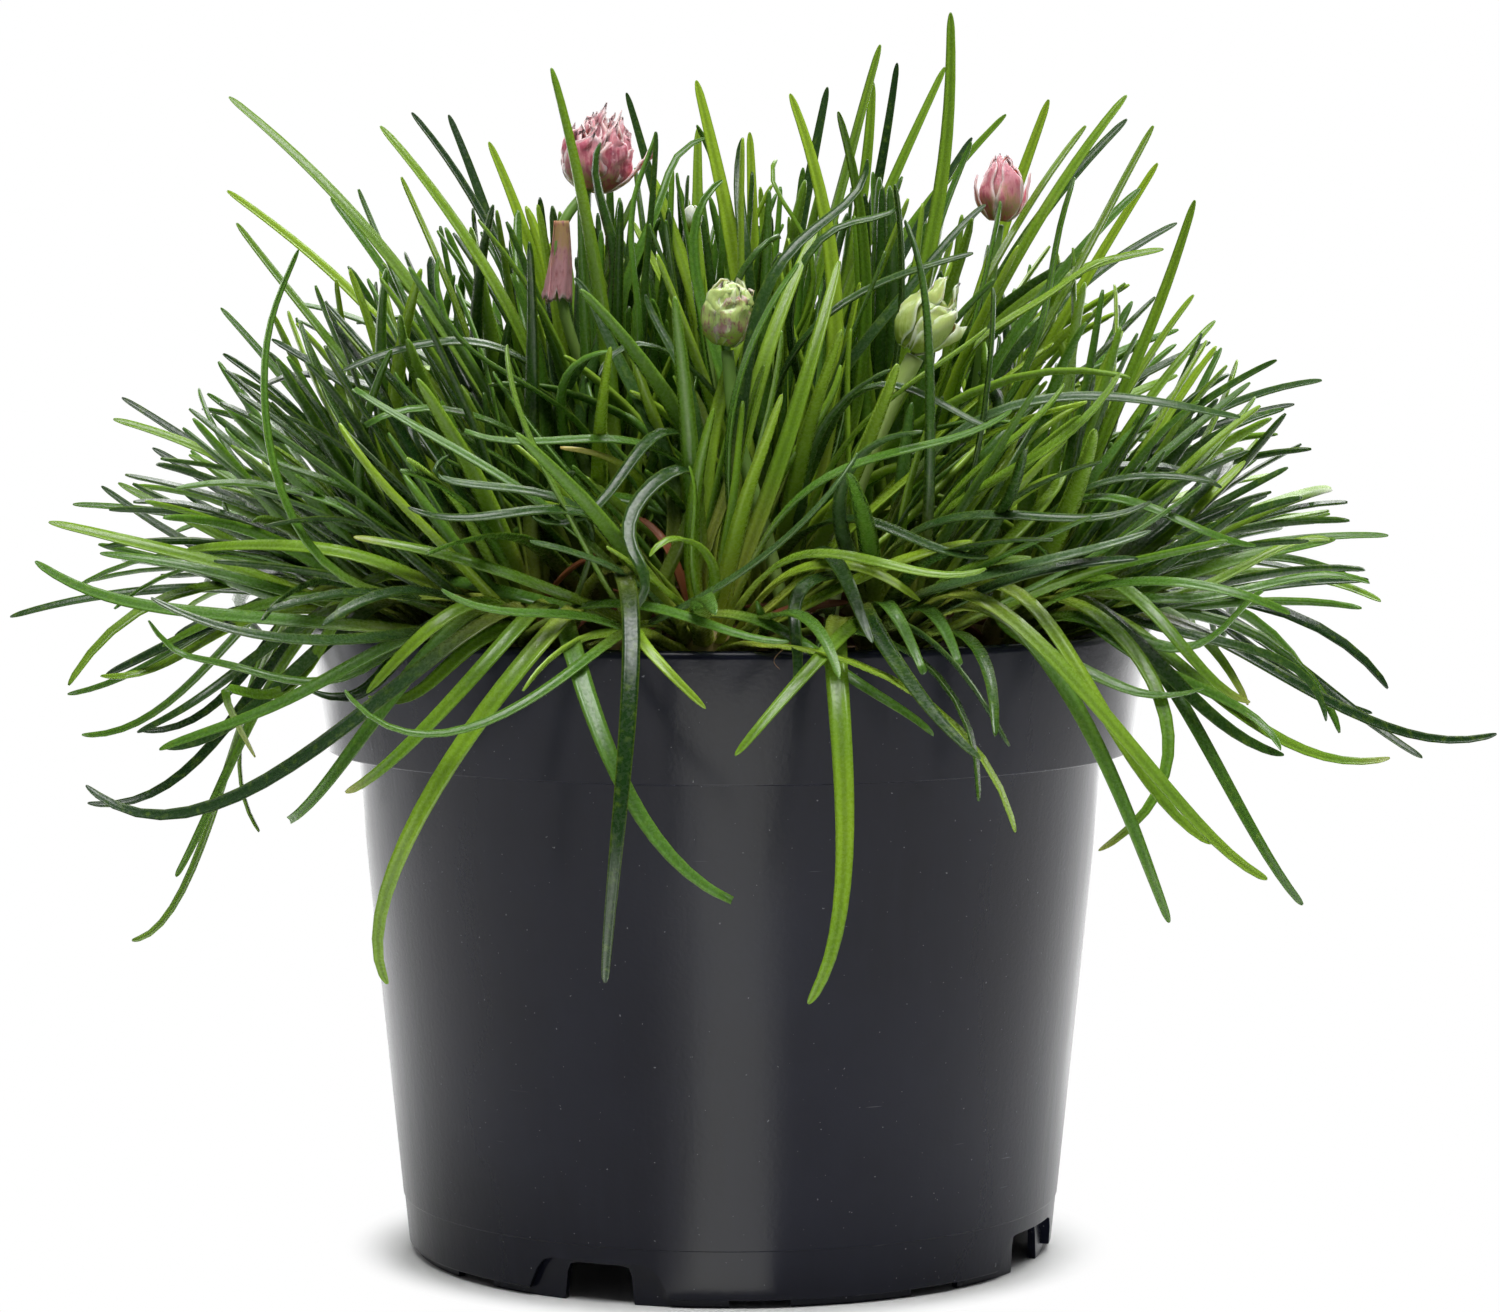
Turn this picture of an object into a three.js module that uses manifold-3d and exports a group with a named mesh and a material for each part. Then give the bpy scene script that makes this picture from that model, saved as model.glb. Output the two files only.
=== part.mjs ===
// Potted broadleaf thrift: a dense cushion of narrow strap leaves in a round nursery pot, with a few young
// flower heads. Millimetres, +Z up. The origin is the middle of the pot's foot on the ground, and -Y is
// the front.
import * as THREE from "three";
import { mergeVertices } from "three/addons/utils/BufferGeometryUtils.js";
import Module from "manifold-3d";

const wasm = await Module();
wasm.setup();

// Driving sizes of the pot
const POT_HEIGHT = 97;
const RIM_RADIUS = 65;
const BAND_FOOT_RADIUS = 62;
const BAND_FOOT_HEIGHT = 77.7;
const BODY_TOP_RADIUS = 57.6;
const BODY_FOOT_RADIUS = 49.8;
const FOOT_STEP_HEIGHT = 1.2;
const FOOT_RING_RADIUS = 48.7;
const WALL = 1.2;
const FLOOR_UNDERSIDE = 6.5;
const FLOOR_TOP = 8;
const POT_SIDES = 40;

// Driving sizes of the openings round the pot's foot
const NOTCH_COUNT = 4;
const NOTCH_BEARING = 67;
const NOTCH = { foot: 24, top: 18, height: 6.3, corner: 2 };
const RING_NOTCH = { foot: 11.2, top: 10, height: 5.7, corner: 1.5 };
const RING_GAP = { width: 9, height: 1 };
const RING_GAP_OFFSET = 16.7;
const DRAIN_HOLES = 6;
const DRAIN_HOLE_RADIUS = 3.5;
const DRAIN_HOLE_REACH = 36;

// Driving sizes of the compost and of the crowns that stand in it
const SOIL_TOP = 92;
const SOIL_SIDES = 24;
const SOIL_RINGS = [56, 36];
const SEAT_GAP = 0.3;
const CROWN_FOOT = 84;
const CROWN_RADIUS = 5.2;
const CROWN_TOP = 101.5;
const CROWN_SIDES = 7;

// Driving sizes of the leaves
const LEAF_START = 93;
const LEAF_START_RISE = 4.5;
const LEAF_KEEL = 0.8;
const SHOWN_STATIONS = [0, 0.24, 0.48, 0.7, 0.9];
const FILLING_STATIONS = [0, 0.3, 0.62, 0.88];
const BASE_SPREAD = 3;
const FACE_TURN = 0.9;
const LINE_RADIUS = 0.5;
const LEAF_GAP = 0.2;
const RIM_CLEARANCE = 1.5;
const MOST_LEAN = 1.15;
const SHORTEST_LEAF = 30;
const SMALLEST_EDGE = 0.03;

// The cushion's round outline: half its width and depth, its height and the height that it rises from
const CUSHION = { across: 103, deep: 100, up: 84, low: 84 };

// How the filling leaves vary: each row is a least and a greatest value
const LENGTH_SHARES = [0.78, 1.12];
const DROOPS = [0.25, 0.8];
const SWINGS = [-0.25, 0.25];
const WIDTHS = [2.2, 3];
const TURNS = [-0.8, 0.8];
const GOLDEN_TURN = 2.4;
const SHORTER = 0.94;

const UP = new THREE.Vector3(0, 0, 1);
const degrees = THREE.MathUtils.degToRad;
const at = (x, y, z) => new THREE.Vector3(x, y, z);

// Where each crown stands: one in the middle, an inner ring and an outer ring.
// bearing is measured from the front towards +X, lean is how far its leaves lean outwards.
const CROWN_RINGS = [
  { name: "leaves_outer", count: 11, first: -4, reach: 48, lean: 44, spread: 38, leaves: 15, length: 70 },
  { name: "leaves_inner", count: 6, first: 12, reach: 26, lean: 22, spread: 34, leaves: 17, length: 80 },
  { name: "leaves_middle", count: 1, first: 0, reach: 0, lean: 3, spread: 30, leaves: 20, length: 76 },
];

// The leaves that show singly, crown by crown: a width, the points that the leaf passes, its tip last.
const SHOWN_LEAVES = {
  leaves_outer_1: [
    [2.6, [9, -44, 127], [16, -38, 152]],
    [2.6, [5, -43, 131], [13, -30, 157]],
    [2.4, [1, -52, 122], [5, -50, 137]],
    [2.3, [-1, -54, 117], [2, -55, 132]],
    [2.2, [-5, -56, 116], [-2, -60, 131]],
    [2.4, [1, -46, 126], [3, -41, 144]],
    [2.6, [-29, -60, 107], [-53, -60, 113]],
    [2.3, [-9, -62, 106], [-17, -68, 112]],
    [2.4, [17, -60, 109], [27, -63, 104]],
    [2.0, [-12, -72, 99], [-3, -77, 90]],
  ],
  leaves_outer_2: [
    [2.9, [15, -68, 99], [16, -80, 79], [11, -84, 50]],
    [2.3, [14, -71, 98], [9, -78, 92], [1, -82, 84]],
    [2.5, [20, -68, 101], [26, -83, 93], [34, -95, 85]],
    [2.4, [22, -65, 103], [27, -78, 95]],
    [2.4, [28, -63, 103], [32, -76, 96]],
    [2.6, [38, -66, 103], [53, -72, 88], [76, -66, 65]],
    [2.4, [42, -60, 104], [58, -70, 80], [68, -66, 70]],
    [2.6, [41, -64, 100], [53, -70, 81], [62, -68, 59]],
    [2.6, [33, -57, 107], [43, -58, 110]],
    [2.5, [33, -46, 119], [44, -42, 131]],
    [2.3, [25, -50, 116], [34, -50, 126]],
  ],
  leaves_outer_3: [
    [2.4, [62, -34, 100], [89, -36, 87], [114, -28, 82]],
    [2.4, [58, -44, 99], [78, -48, 84], [96, -44, 80]],
    [2.7, [55, -46, 100], [70, -53, 86], [80, -50, 81]],
    [2.3, [55, -40, 100], [72, -54, 76], [83, -48, 59]],
    [2.2, [53, -49, 101], [62, -60, 87], [52, -66, 69]],
    [2.3, [62, -30, 101], [76, -38, 87]],
    [2.7, [64, -38, 99], [78, -32, 104]],
    [2.6, [78, -20, 101], [97, -12, 104]],
    [2.8, [72, -18, 105], [92, -10, 110]],
    [2.9, [64, -22, 146], [69, -24, 161]],
    [2.4, [56, -34, 121], [62, -36, 132]],
    [2.5, [68, -16, 113], [78, -12, 122]],
  ],
  leaves_outer_4: [
    [2.3, [66, -2, 101], [90, -6, 88], [105, -14, 77]],
    [2.2, [66, 6, 101], [83, 10, 91], [100, 6, 82]],
    [2.3, [87, 4, 101], [100, 0, 100]],
    [2.3, [81, -4, 104], [95, -2, 104]],
    [2.2, [86, 14, 106], [104, 19, 109]],
    [2.2, [72, 2, 112], [83, 3, 116]],
    [2.2, [78, -4, 131], [90, -8, 134]],
    [2.1, [71, 4, 129], [84, 0, 137]],
    [2.0, [73, 10, 126], [88, 10, 130]],
    [2.1, [69, 0, 137], [75, 5, 143]],
    [2.2, [65, -2, 139], [71, -2, 147]],
  ],
  leaves_inner_2: [
    [2.6, [49, -8, 148], [66, -4, 154]],
    [2.2, [56, 2, 150], [69, 5, 158]],
    [2.9, [53, -11, 156], [62, -12, 163]],
    [3.0, [54, -18, 158], [63, -21, 172]],
    [2.5, [57, -5, 158], [65, -3, 167]],
    [3.0, [49, -11, 163], [60, -10, 177]],
    [2.6, [50, 0, 162], [61, 3, 174]],
    [3.0, [44, -18, 159], [53, -21, 172]],
    [2.7, [43, 4, 160], [49, 4, 177]],
  ],
  leaves_inner_1: [
    [2.9, [31, -19, 160], [33, -17, 189]],
    [2.6, [20, -22, 155], [16, -24, 174]],
    [2.5, [14, -20, 160], [9, -17, 177]],
    [3.0, [2, -27, 152], [2, -29, 170]],
    [2.8, [0, -19, 157], [-5, -16, 179]],
    [2.5, [25, -30, 152], [24, -34, 163]],
    [2.6, [13, -31, 140], [16, -32, 152]],
  ],
  leaves_middle_1: [
    [3.0, [16, -4, 160], [23, -2, 185]],
    [2.8, [20, 4, 160], [22, 7, 180]],
    [2.2, [22, 10, 160], [26, 13, 183]],
    [2.6, [24, 1, 162], [33, 4, 182]],
    [2.5, [11, 4, 158], [15, 6, 179]],
    [2.4, [4, 3, 154], [3, 4, 172]],
    [2.3, [-10, 2, 156], [-16, 4, 178]],
    [2.5, [-5, 8, 156], [-5, 11, 173]],
    [2.2, [30, 10, 159], [43, 14, 175]],
    [2.4, [28, -2, 156], [37, -1, 171]],
  ],
  leaves_inner_6: [
    [3.0, [-20, -30, 153], [-26, -33, 180]],
    [2.9, [-38, -24, 154], [-52, -20, 172]],
    [2.5, [-43, -35, 127], [-59, -34, 146]],
    [2.4, [-36, -36, 140], [-56, -42, 136]],
    [2.7, [-13, -26, 152], [-11, -26, 171]],
    [2.5, [-49, -14, 150], [-76, -6, 177]],
    [2.5, [-30, -44, 117], [-41, -50, 124]],
  ],
  leaves_inner_5: [
    [2.4, [-38, 2, 159], [-49, 4, 175]],
    [2.3, [-37, 10, 157], [-44, 14, 175]],
    [2.4, [-32, 16, 156], [-38, 19, 171]],
    [2.6, [-60, 2, 149], [-77, 0, 163]],
    [2.6, [-62, -5, 141], [-75, -5, 158]],
    [2.4, [-53, 6, 150], [-62, 9, 162]],
    [2.5, [-51, -6, 150], [-56, -9, 163]],
    [2.5, [-46, -1, 150], [-50, -2, 165]],
  ],
  leaves_outer_9: [
    [2.2, [-81, 8, 100], [-112, 6, 97]],
    [2.0, [-85, 17, 112], [-104, 19, 114]],
    [2.1, [-86, 13, 107], [-99, 17, 117]],
    [2.6, [-80, 6, 110], [-95, 6, 118]],
    [2.4, [-82, 15, 117], [-91, 17, 123]],
    [2.5, [-81, 1, 123], [-95, 1, 128]],
    [2.1, [-82, 9, 123], [-95, 11, 131]],
    [2.5, [-71, 2, 119], [-80, 0, 132]],
    [2.4, [-68, 3, 130], [-78, 1, 138]],
    [2.0, [-70, 13, 134], [-80, 16, 145]],
    [2.2, [-64, 6, 101], [-88, 10, 84], [-102, 10, 78]],
    [2.0, [-64, 14, 101], [-91, 17, 89], [-105, 18, 84]],
    [2.2, [-62, 2, 101], [-77, -1, 87], [-91, -3, 80]],
  ],
  leaves_outer_10: [
    [2.9, [-77, -22, 107], [-102, -20, 113]],
    [2.5, [-71, -31, 105], [-93, -30, 109]],
    [2.7, [-60, -19, 101], [-77, -24, 96], [-94, -19, 90]],
    [2.3, [-58, -25, 101], [-76, -31, 83], [-95, -32, 72]],
    [2.7, [-53, -36, 101], [-68, -42, 88], [-83, -38, 81]],
    [2.2, [-60, -15, 102], [-74, -19, 76], [-91, -12, 49]],
    [2.2, [-56, -29, 101], [-73, -28, 82], [-83, -24, 60]],
    [2.1, [-60, -9, 101], [-74, -4, 80], [-73, 2, 64]],
    [2.3, [-58, -33, 103], [-84, -28, 95]],
  ],
  leaves_outer_11: [
    [2.8, [-54, -48, 99], [-84, -44, 102], [-102, -34, 108]],
    [2.8, [-48, -50, 108], [-79, -40, 110]],
    [2.9, [-33, -62, 102], [-60, -66, 82], [-92, -54, 77]],
    [2.6, [-38, -58, 101], [-50, -64, 87], [-63, -56, 72]],
    [2.4, [-29, -64, 101], [-41, -70, 88], [-54, -64, 77]],
    [2.7, [-25, -69, 100], [-38, -75, 83], [-48, -66, 50]],
    [2.7, [-20, -70, 99], [-16, -81, 78], [1, -84, 64]],
    [2.4, [-14, -68, 100], [-18, -84, 80], [-17, -80, 52]],
    [2.6, [-36, -60, 101], [-51, -65, 91]],
  ],
};

// Flower stalks and heads: route holds the stalk's points from the compost up, core the head's
// half width and half height, and radius that of the stalk.
const FLOWERS = [
  {
    name: "open_bud",
    radius: 0.9,
    route: [
      [-11, -7, 84],
      [-11.2, -7.2, 95],
      [-17, -13, 121],
      [-25, -19, 146],
      [-25, -19, 157],
      [-21, -17, 163],
    ],
    sheathed: true,
    core: [5.2, 5],
    centre: [-20, -16, 167],
    scales: 7,
    scaleWidth: 3.8,
    flare: 0.34,
    ragged: 1.5,
    colour: "#c9708f",
  },
  {
    name: "pointed_bud",
    radius: 0.9,
    route: [[35, -6, 84], [35, -6.1, 95], [36.2, -8, 121], [39, -11, 146], [40.6, -12, 157.5]],
    core: [3.2, 4.2],
    centre: [40.9, -12, 162],
    scales: 5,
    scaleWidth: 3.2,
    flare: -0.12,
    ragged: 0.5,
    colour: "#c0607a",
  },
  {
    name: "round_bud",
    radius: 1.1,
    route: [[9, -44, 84], [8.9, -44, 95], [5.5, -45, 112], [1, -46, 128], [-0.2, -46, 139]],
    core: [3.5, 4.6],
    centre: [-0.2, -46, 144],
    scales: 5,
    scaleWidth: 3.5,
    flare: -0.06,
    ragged: 0.4,
    colour: "#a9b873",
  },
  {
    name: "pale_bud",
    radius: 1.6,
    route: [[14, -36, 84], [14.1, -36, 95], [17, -37.5, 114], [23, -39, 130], [27, -40, 138]],
    core: [4.1, 5],
    centre: [28.3, -40, 143],
    scales: 5,
    scaleWidth: 4.8,
    flare: 0.08,
    ragged: 0.6,
    colour: "#b9c98a",
  },
  {
    name: "young_bud",
    radius: 0.8,
    route: [[2, -13, 84], [2, -13, 95], [-1.5, -12, 125], [-5, -10, 150], [-5.6, -10, 156]],
    core: [1.5, 2.1],
    centre: [-5.8, -10, 158.4],
    scales: 3,
    scaleWidth: 1.7,
    flare: -0.1,
    ragged: 0.2,
    colour: "#dfe4cc",
  },
];
const STALK_SIDES = 6;

// The papery collar that hangs below the open bud, round its stalk
const SHEATH = { x: -25, y: -19, top: 158, bottom: 146.5, topRadius: 1.8, bottomRadius: 2.4, sides: 8 };

// A repeatable row of draws between 0 and 1.
function seededDraws(seed) {
  let state = seed;
  return () => {
    state = (Math.imul(state, 1664525) + 1013904223) >>> 0;
    return state / 4294967296;
  };
}

function between([least, greatest], draw) {
  return least + (greatest - least) * draw();
}

// A closed three.js geometry as a solid that can be joined and cut.
function solidOf(geometry) {
  const bare = new THREE.BufferGeometry();
  bare.setAttribute("position", geometry.getAttribute("position"));
  bare.setIndex(geometry.index);
  const merged = mergeVertices(bare, 1e-4);
  const corners = merged.index.array;
  const kept = [];
  for (let i = 0; i < corners.length; i += 3) {
    const [a, b, c] = corners.slice(i, i + 3);
    if (a !== b && b !== c && c !== a) kept.push(a, b, c);
  }
  return new wasm.Manifold(
    new wasm.Mesh({
      numProp: 3,
      vertProperties: new Float32Array(merged.getAttribute("position").array),
      triVerts: new Uint32Array(kept),
    }),
  );
}

function joined(solids) {
  return wasm.Manifold.union(solids);
}

// The largest body of a solid, without loose scraps and with its sealed hollows filled.
function wholeBody(solid) {
  const bodies = solid.simplify(SMALLEST_EDGE).decompose();
  return bodies.reduce((best, body) => (body.volume() > best.volume() ? body : best));
}

// A named mesh of a solid, in its own colour.
function meshOf(name, solid, material) {
  const made = solid.getMesh();
  const geometry = new THREE.BufferGeometry();
  geometry.setAttribute("position", new THREE.BufferAttribute(new Float32Array(made.vertProperties), 3));
  geometry.setIndex(new THREE.BufferAttribute(new Uint32Array(made.triVerts), 1));
  geometry.computeVertexNormals();
  const mesh = new THREE.Mesh(geometry, material);
  mesh.name = name;
  return mesh;
}

function plainMaterial(colour, roughness) {
  return new THREE.MeshStandardMaterial({ color: colour, roughness, metalness: 0 });
}

// A turned solid about the vertical axis, from its outline as [radius, height] pairs.
function turned(outline, sides) {
  const points = outline.map(([radius, height]) => new THREE.Vector2(radius, height));
  return new THREE.LatheGeometry(points, sides).rotateX(Math.PI / 2);
}

function upright(radius, low, high, x, y, sides) {
  const post = new THREE.CylinderGeometry(radius, radius, high - low, sides);
  return solidOf(post.rotateX(Math.PI / 2).translate(x, y, (low + high) / 2));
}

// A solid block through the pot's foot at a bearing, from one radius to another, with rounded upper corners.
function footBlock({ foot, top, height, corner }, inner, outer, bearing) {
  const outline = new THREE.Shape();
  const lean = (foot - top) / 2 / height;
  outline.moveTo(-foot / 2 - lean, -1);
  outline.lineTo(foot / 2 + lean, -1);
  outline.lineTo(top / 2 + lean * corner, height - corner);
  outline.quadraticCurveTo(top / 2, height, top / 2 - corner, height);
  outline.lineTo(-top / 2 + corner, height);
  outline.quadraticCurveTo(-top / 2, height, -top / 2 - lean * corner, height - corner);
  const block = new THREE.ExtrudeGeometry(outline, {
    depth: outer - inner,
    bevelEnabled: false,
    curveSegments: 2,
  });
  block.rotateX(Math.PI / 2).translate(0, -inner, 0).rotateZ(degrees(bearing));
  return solidOf(block);
}

// A low plain slot under the foot ring at a bearing.
function footSlot(bearing) {
  const slot = new THREE.BoxGeometry(RING_GAP.width, 12, 2 * RING_GAP.height);
  return solidOf(slot.translate(0, -FOOT_RING_RADIUS, 0).rotateZ(degrees(bearing)));
}

function potSolid() {
  const wallTop = RIM_RADIUS - WALL - 0.1;
  const body = solidOf(
    turned(
      [
        [0, FLOOR_UNDERSIDE],
        [FOOT_RING_RADIUS - WALL, FLOOR_UNDERSIDE],
        [FOOT_RING_RADIUS - WALL, 0],
        [FOOT_RING_RADIUS, 0],
        [FOOT_RING_RADIUS, FOOT_STEP_HEIGHT],
        [BODY_FOOT_RADIUS, FOOT_STEP_HEIGHT],
        [BODY_TOP_RADIUS, BAND_FOOT_HEIGHT],
        [BAND_FOOT_RADIUS, BAND_FOOT_HEIGHT],
        [RIM_RADIUS, POT_HEIGHT - 0.6],
        [RIM_RADIUS - 0.4, POT_HEIGHT],
        [wallTop + 0.3, POT_HEIGHT],
        [wallTop, POT_HEIGHT - 0.6],
        [BAND_FOOT_RADIUS - WALL, BAND_FOOT_HEIGHT + WALL],
        [BODY_TOP_RADIUS - WALL - 0.1, BAND_FOOT_HEIGHT + WALL],
        [BODY_FOOT_RADIUS - WALL - 0.2, FLOOR_TOP],
        [0, FLOOR_TOP],
      ],
      POT_SIDES,
    ),
  );
  const outside = [];
  const through = [];
  for (let i = 0; i < NOTCH_COUNT; i += 1) {
    const bearing = NOTCH_BEARING + (360 / NOTCH_COUNT) * i;
    outside.push(footBlock(NOTCH, 40, 56, bearing));
    through.push(footBlock(RING_NOTCH, 40, 56, bearing));
    through.push(footSlot(bearing - 45 - RING_GAP_OFFSET));
    through.push(footSlot(bearing - 45 + RING_GAP_OFFSET));
  }
  for (let i = 0; i < DRAIN_HOLES; i += 1) {
    const turn = degrees((360 / DRAIN_HOLES) * (i + 0.5));
    const x = DRAIN_HOLE_REACH * Math.cos(turn);
    const y = DRAIN_HOLE_REACH * Math.sin(turn);
    through.push(upright(DRAIN_HOLE_RADIUS, FLOOR_UNDERSIDE - 1, FLOOR_TOP + 1, x, y, 8));
  }
  const ringCore = solidOf(
    turned([[0, -5], [FOOT_RING_RADIUS, -5], [FOOT_RING_RADIUS, 20], [0, 20]], POT_SIDES),
  );
  return body.subtract(joined(outside).subtract(ringCore)).subtract(joined(through));
}

// The compost's surface isn't level: it rises and falls by this much.
function unevenness(x, y) {
  return 0.6 * Math.sin(x / 6.1) + 0.5 * Math.cos(y / 5.3 + x / 9);
}

function compostSolid(seats) {
  const wallAtTop =
    BAND_FOOT_RADIUS -
    WALL +
    ((RIM_RADIUS - BAND_FOOT_RADIUS) * (SOIL_TOP - BAND_FOOT_HEIGHT - WALL)) /
      (POT_HEIGHT - BAND_FOOT_HEIGHT - WALL);
  const outline = [
    [0, FLOOR_TOP + SEAT_GAP],
    [BODY_FOOT_RADIUS - WALL - 0.2 - SEAT_GAP, FLOOR_TOP + SEAT_GAP],
    [BODY_TOP_RADIUS - WALL - 0.1 - SEAT_GAP, BAND_FOOT_HEIGHT + WALL + SEAT_GAP],
    [BAND_FOOT_RADIUS - WALL - SEAT_GAP, BAND_FOOT_HEIGHT + WALL + SEAT_GAP],
    [wallAtTop - SEAT_GAP - 0.2, SOIL_TOP - 0.6],
    ...SOIL_RINGS.map((radius) => [radius, SOIL_TOP]),
    [0, SOIL_TOP],
  ];
  const geometry = turned(outline, SOIL_SIDES);
  const places = geometry.getAttribute("position");
  for (let i = 0; i < places.count; i += 1) {
    const x = places.getX(i);
    const y = places.getY(i);
    if (places.getZ(i) > SOIL_TOP - 0.1) places.setZ(i, SOIL_TOP + unevenness(x, y));
  }
  return solidOf(geometry).subtract(joined(seats));
}

// The short thick stem that a tuft of leaves grows from.
function crownSolid(x, y) {
  const outline = [
    [0, CROWN_FOOT],
    [CROWN_RADIUS - 0.2, CROWN_FOOT],
    [CROWN_RADIUS, CROWN_TOP - 6.5],
    [CROWN_RADIUS * 0.68, CROWN_TOP - 2],
    [0, CROWN_TOP],
  ];
  return solidOf(turned(outline, CROWN_SIDES).translate(x, y, 0));
}

// A smooth arch through three or four points, spaced along it as they lie apart.
class ArchedPath extends THREE.Curve {
  constructor(points) {
    super();
    this.points = points;
    this.knots = [0];
    for (let i = 1; i < points.length; i += 1) {
      this.knots.push(this.knots[i - 1] + points[i].distanceTo(points[i - 1]));
    }
  }

  getPoint(share, target = new THREE.Vector3()) {
    const t = share * this.knots[this.knots.length - 1];
    const row = this.points.map((point) => point.clone());
    for (let step = 1; step < row.length; step += 1) {
      for (let i = 0; i + step < row.length; i += 1) {
        const part = (t - this.knots[i]) / (this.knots[i + step] - this.knots[i]);
        row[i].lerp(row[i + 1], part);
      }
    }
    return target.copy(row[0]);
  }
}

// Where a leaf runs, and which way it faces, at each of its stations. turn twists it about its length.
function leafStations(path, crown, turn, shares) {
  const tip = path.getPoint(1);
  const heading = at(tip.x - crown.x, tip.y - crown.y, 0);
  if (heading.length() < 1) heading.set(crown.outX, crown.outY, 0);
  heading.normalize();
  const sideways = at(-heading.y, heading.x, 0);
  return [...shares, 1].map((share) => {
    const along = path.getPoint(Math.min(share + 0.01, 1)).sub(path.getPoint(Math.max(share - 0.01, 0)));
    along.normalize();
    const across = sideways.clone().addScaledVector(along, -sideways.dot(along)).normalize();
    across.applyAxisAngle(along, turn * (0.3 + 0.7 * share));
    return { centre: path.getPoint(share), across, face: along.clone().cross(across), share };
  });
}

// A closed solid through rings of points, all with the same number of corners, ending in a point.
function lofted(rings, tip) {
  const corners = rings[0].length;
  const places = [...rings.flat(), tip].flatMap((point) => point.toArray());
  const faces = [];
  for (let i = 1; i + 1 < corners; i += 1) faces.push(0, i + 1, i);
  for (let ring = 0; ring + 1 < rings.length; ring += 1) {
    for (let i = 0; i < corners; i += 1) {
      const a = ring * corners + i;
      const b = ring * corners + ((i + 1) % corners);
      faces.push(a, b, b + corners, a, b + corners, a + corners);
    }
  }
  const last = (rings.length - 1) * corners;
  const point = rings.length * corners;
  for (let i = 0; i < corners; i += 1) faces.push(last + i, last + ((i + 1) % corners), point);
  const geometry = new THREE.BufferGeometry();
  geometry.setAttribute("position", new THREE.Float32BufferAttribute(places, 3));
  geometry.setIndex(faces);
  return solidOf(geometry);
}

// The share of its full width that a leaf has at a share of its length: narrower at the root and the tip.
function widthShare(share) {
  const towardsTip = Math.max((share - 0.6) / 0.4, 0);
  return (0.72 + 0.28 * Math.min(share / 0.35, 1)) * (1 - 0.6 * towardsTip ** 2.5);
}

// A strap leaf: flat above, keeled below, with a short pointed tip.
function leafSolid(stations, width) {
  const rings = stations.slice(0, -1).map(({ centre, across, face, share }) => {
    const half = (width * widthShare(share)) / 2;
    return [
      centre.clone().addScaledVector(across, -half),
      centre.clone().addScaledVector(face, -LEAF_KEEL * (1.1 - 0.3 * share)),
      centre.clone().addScaledVector(across, half),
    ];
  });
  return lofted(rings, stations[stations.length - 1].centre);
}

// Three lines along a leaf, by which its distance from other things is judged.
function leafLines(stations, width) {
  const sides = [-1, 0, 1];
  const lines = [];
  for (let i = 0; i + 1 < stations.length; i += 1) {
    for (const side of sides) {
      const [a, b] = [i, i + 1].map((n) => {
        const { centre, across, face, share } = stations[n];
        const aside = (side * width * widthShare(share)) / 3;
        return centre.clone().addScaledVector(across, aside).addScaledVector(face, -0.3);
      });
      lines.push({ a, b, radius: LINE_RADIUS, first: i === 0 });
    }
  }
  return lines;
}

// The shortest distance between two straight lines, each from a to b.
function lineDistance(p, q) {
  const u = p.b.clone().sub(p.a);
  const v = q.b.clone().sub(q.a);
  const w = p.a.clone().sub(q.a);
  const uu = u.dot(u);
  const vv = v.dot(v);
  const uv = u.dot(v);
  const uw = u.dot(w);
  const vw = v.dot(w);
  const flat = uu * vv - uv * uv;
  const clamp = (value) => Math.min(Math.max(value, 0), 1);
  let s = flat > 1e-9 ? clamp((uv * vw - vv * uw) / flat) : 0;
  let t = vv > 1e-9 ? (uv * s + vw) / vv : 0;
  if (t < 0 || t > 1) {
    t = clamp(t);
    s = clamp((uv * t - uw) / Math.max(uu, 1e-9));
  }
  return w.addScaledVector(u, s).addScaledVector(v, -t).length();
}

function boxOf(lines) {
  const box = new THREE.Box3();
  for (const line of lines) box.expandByPoint(line.a).expandByPoint(line.b);
  const radius = Math.max(...lines.map((line) => line.radius));
  return box.expandByScalar(radius + LEAF_GAP);
}

// Whether new lines stay clear of a thing that is already there. Near their common crown
// the leaves of one tuft may touch, because they are one body there.
function clearOf(lines, box, thing, owner) {
  if (!box.intersectsBox(thing.box)) return true;
  const own = thing.owner === owner;
  if (own && thing.crown) return true;
  for (const line of lines) {
    for (const other of thing.lines) {
      if (own && (line.first || other.first)) continue;
      if (lineDistance(line, other) < line.radius + other.radius + LEAF_GAP) return false;
    }
  }
  return true;
}

// Whether a leaf passes over the compost and the rim, and stays off the outside of the pot.
function clearOfPot(lines, crown) {
  const steps = [0, 0.25, 0.5, 0.75, 1];
  for (const line of lines) {
    for (const step of steps) {
      const point = line.a.clone().lerp(line.b, step);
      const reach = Math.hypot(point.x, point.y);
      const away = Math.hypot(point.x - crown.x, point.y - crown.y);
      if (reach > RIM_RADIUS + RIM_CLEARANCE) continue;
      const inside = reach < RIM_RADIUS - WALL - RIM_CLEARANCE;
      const floor = inside ? SOIL_TOP + 1.9 : POT_HEIGHT + RIM_CLEARANCE;
      if (away > CROWN_RADIUS && point.z < floor) return false;
    }
  }
  return true;
}

// The point in the crown where a leaf that heads for a target begins.
function leafRoot(crown, target) {
  const away = target.clone().sub(at(crown.x, crown.y, LEAF_START)).normalize();
  const x = crown.x + BASE_SPREAD * (away.x - crown.outX * Math.sin(crown.lean));
  const y = crown.y + BASE_SPREAD * (away.y - crown.outY * Math.sin(crown.lean));
  return at(x, y, LEAF_START + LEAF_START_RISE * Math.max(away.z, 0));
}

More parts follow.
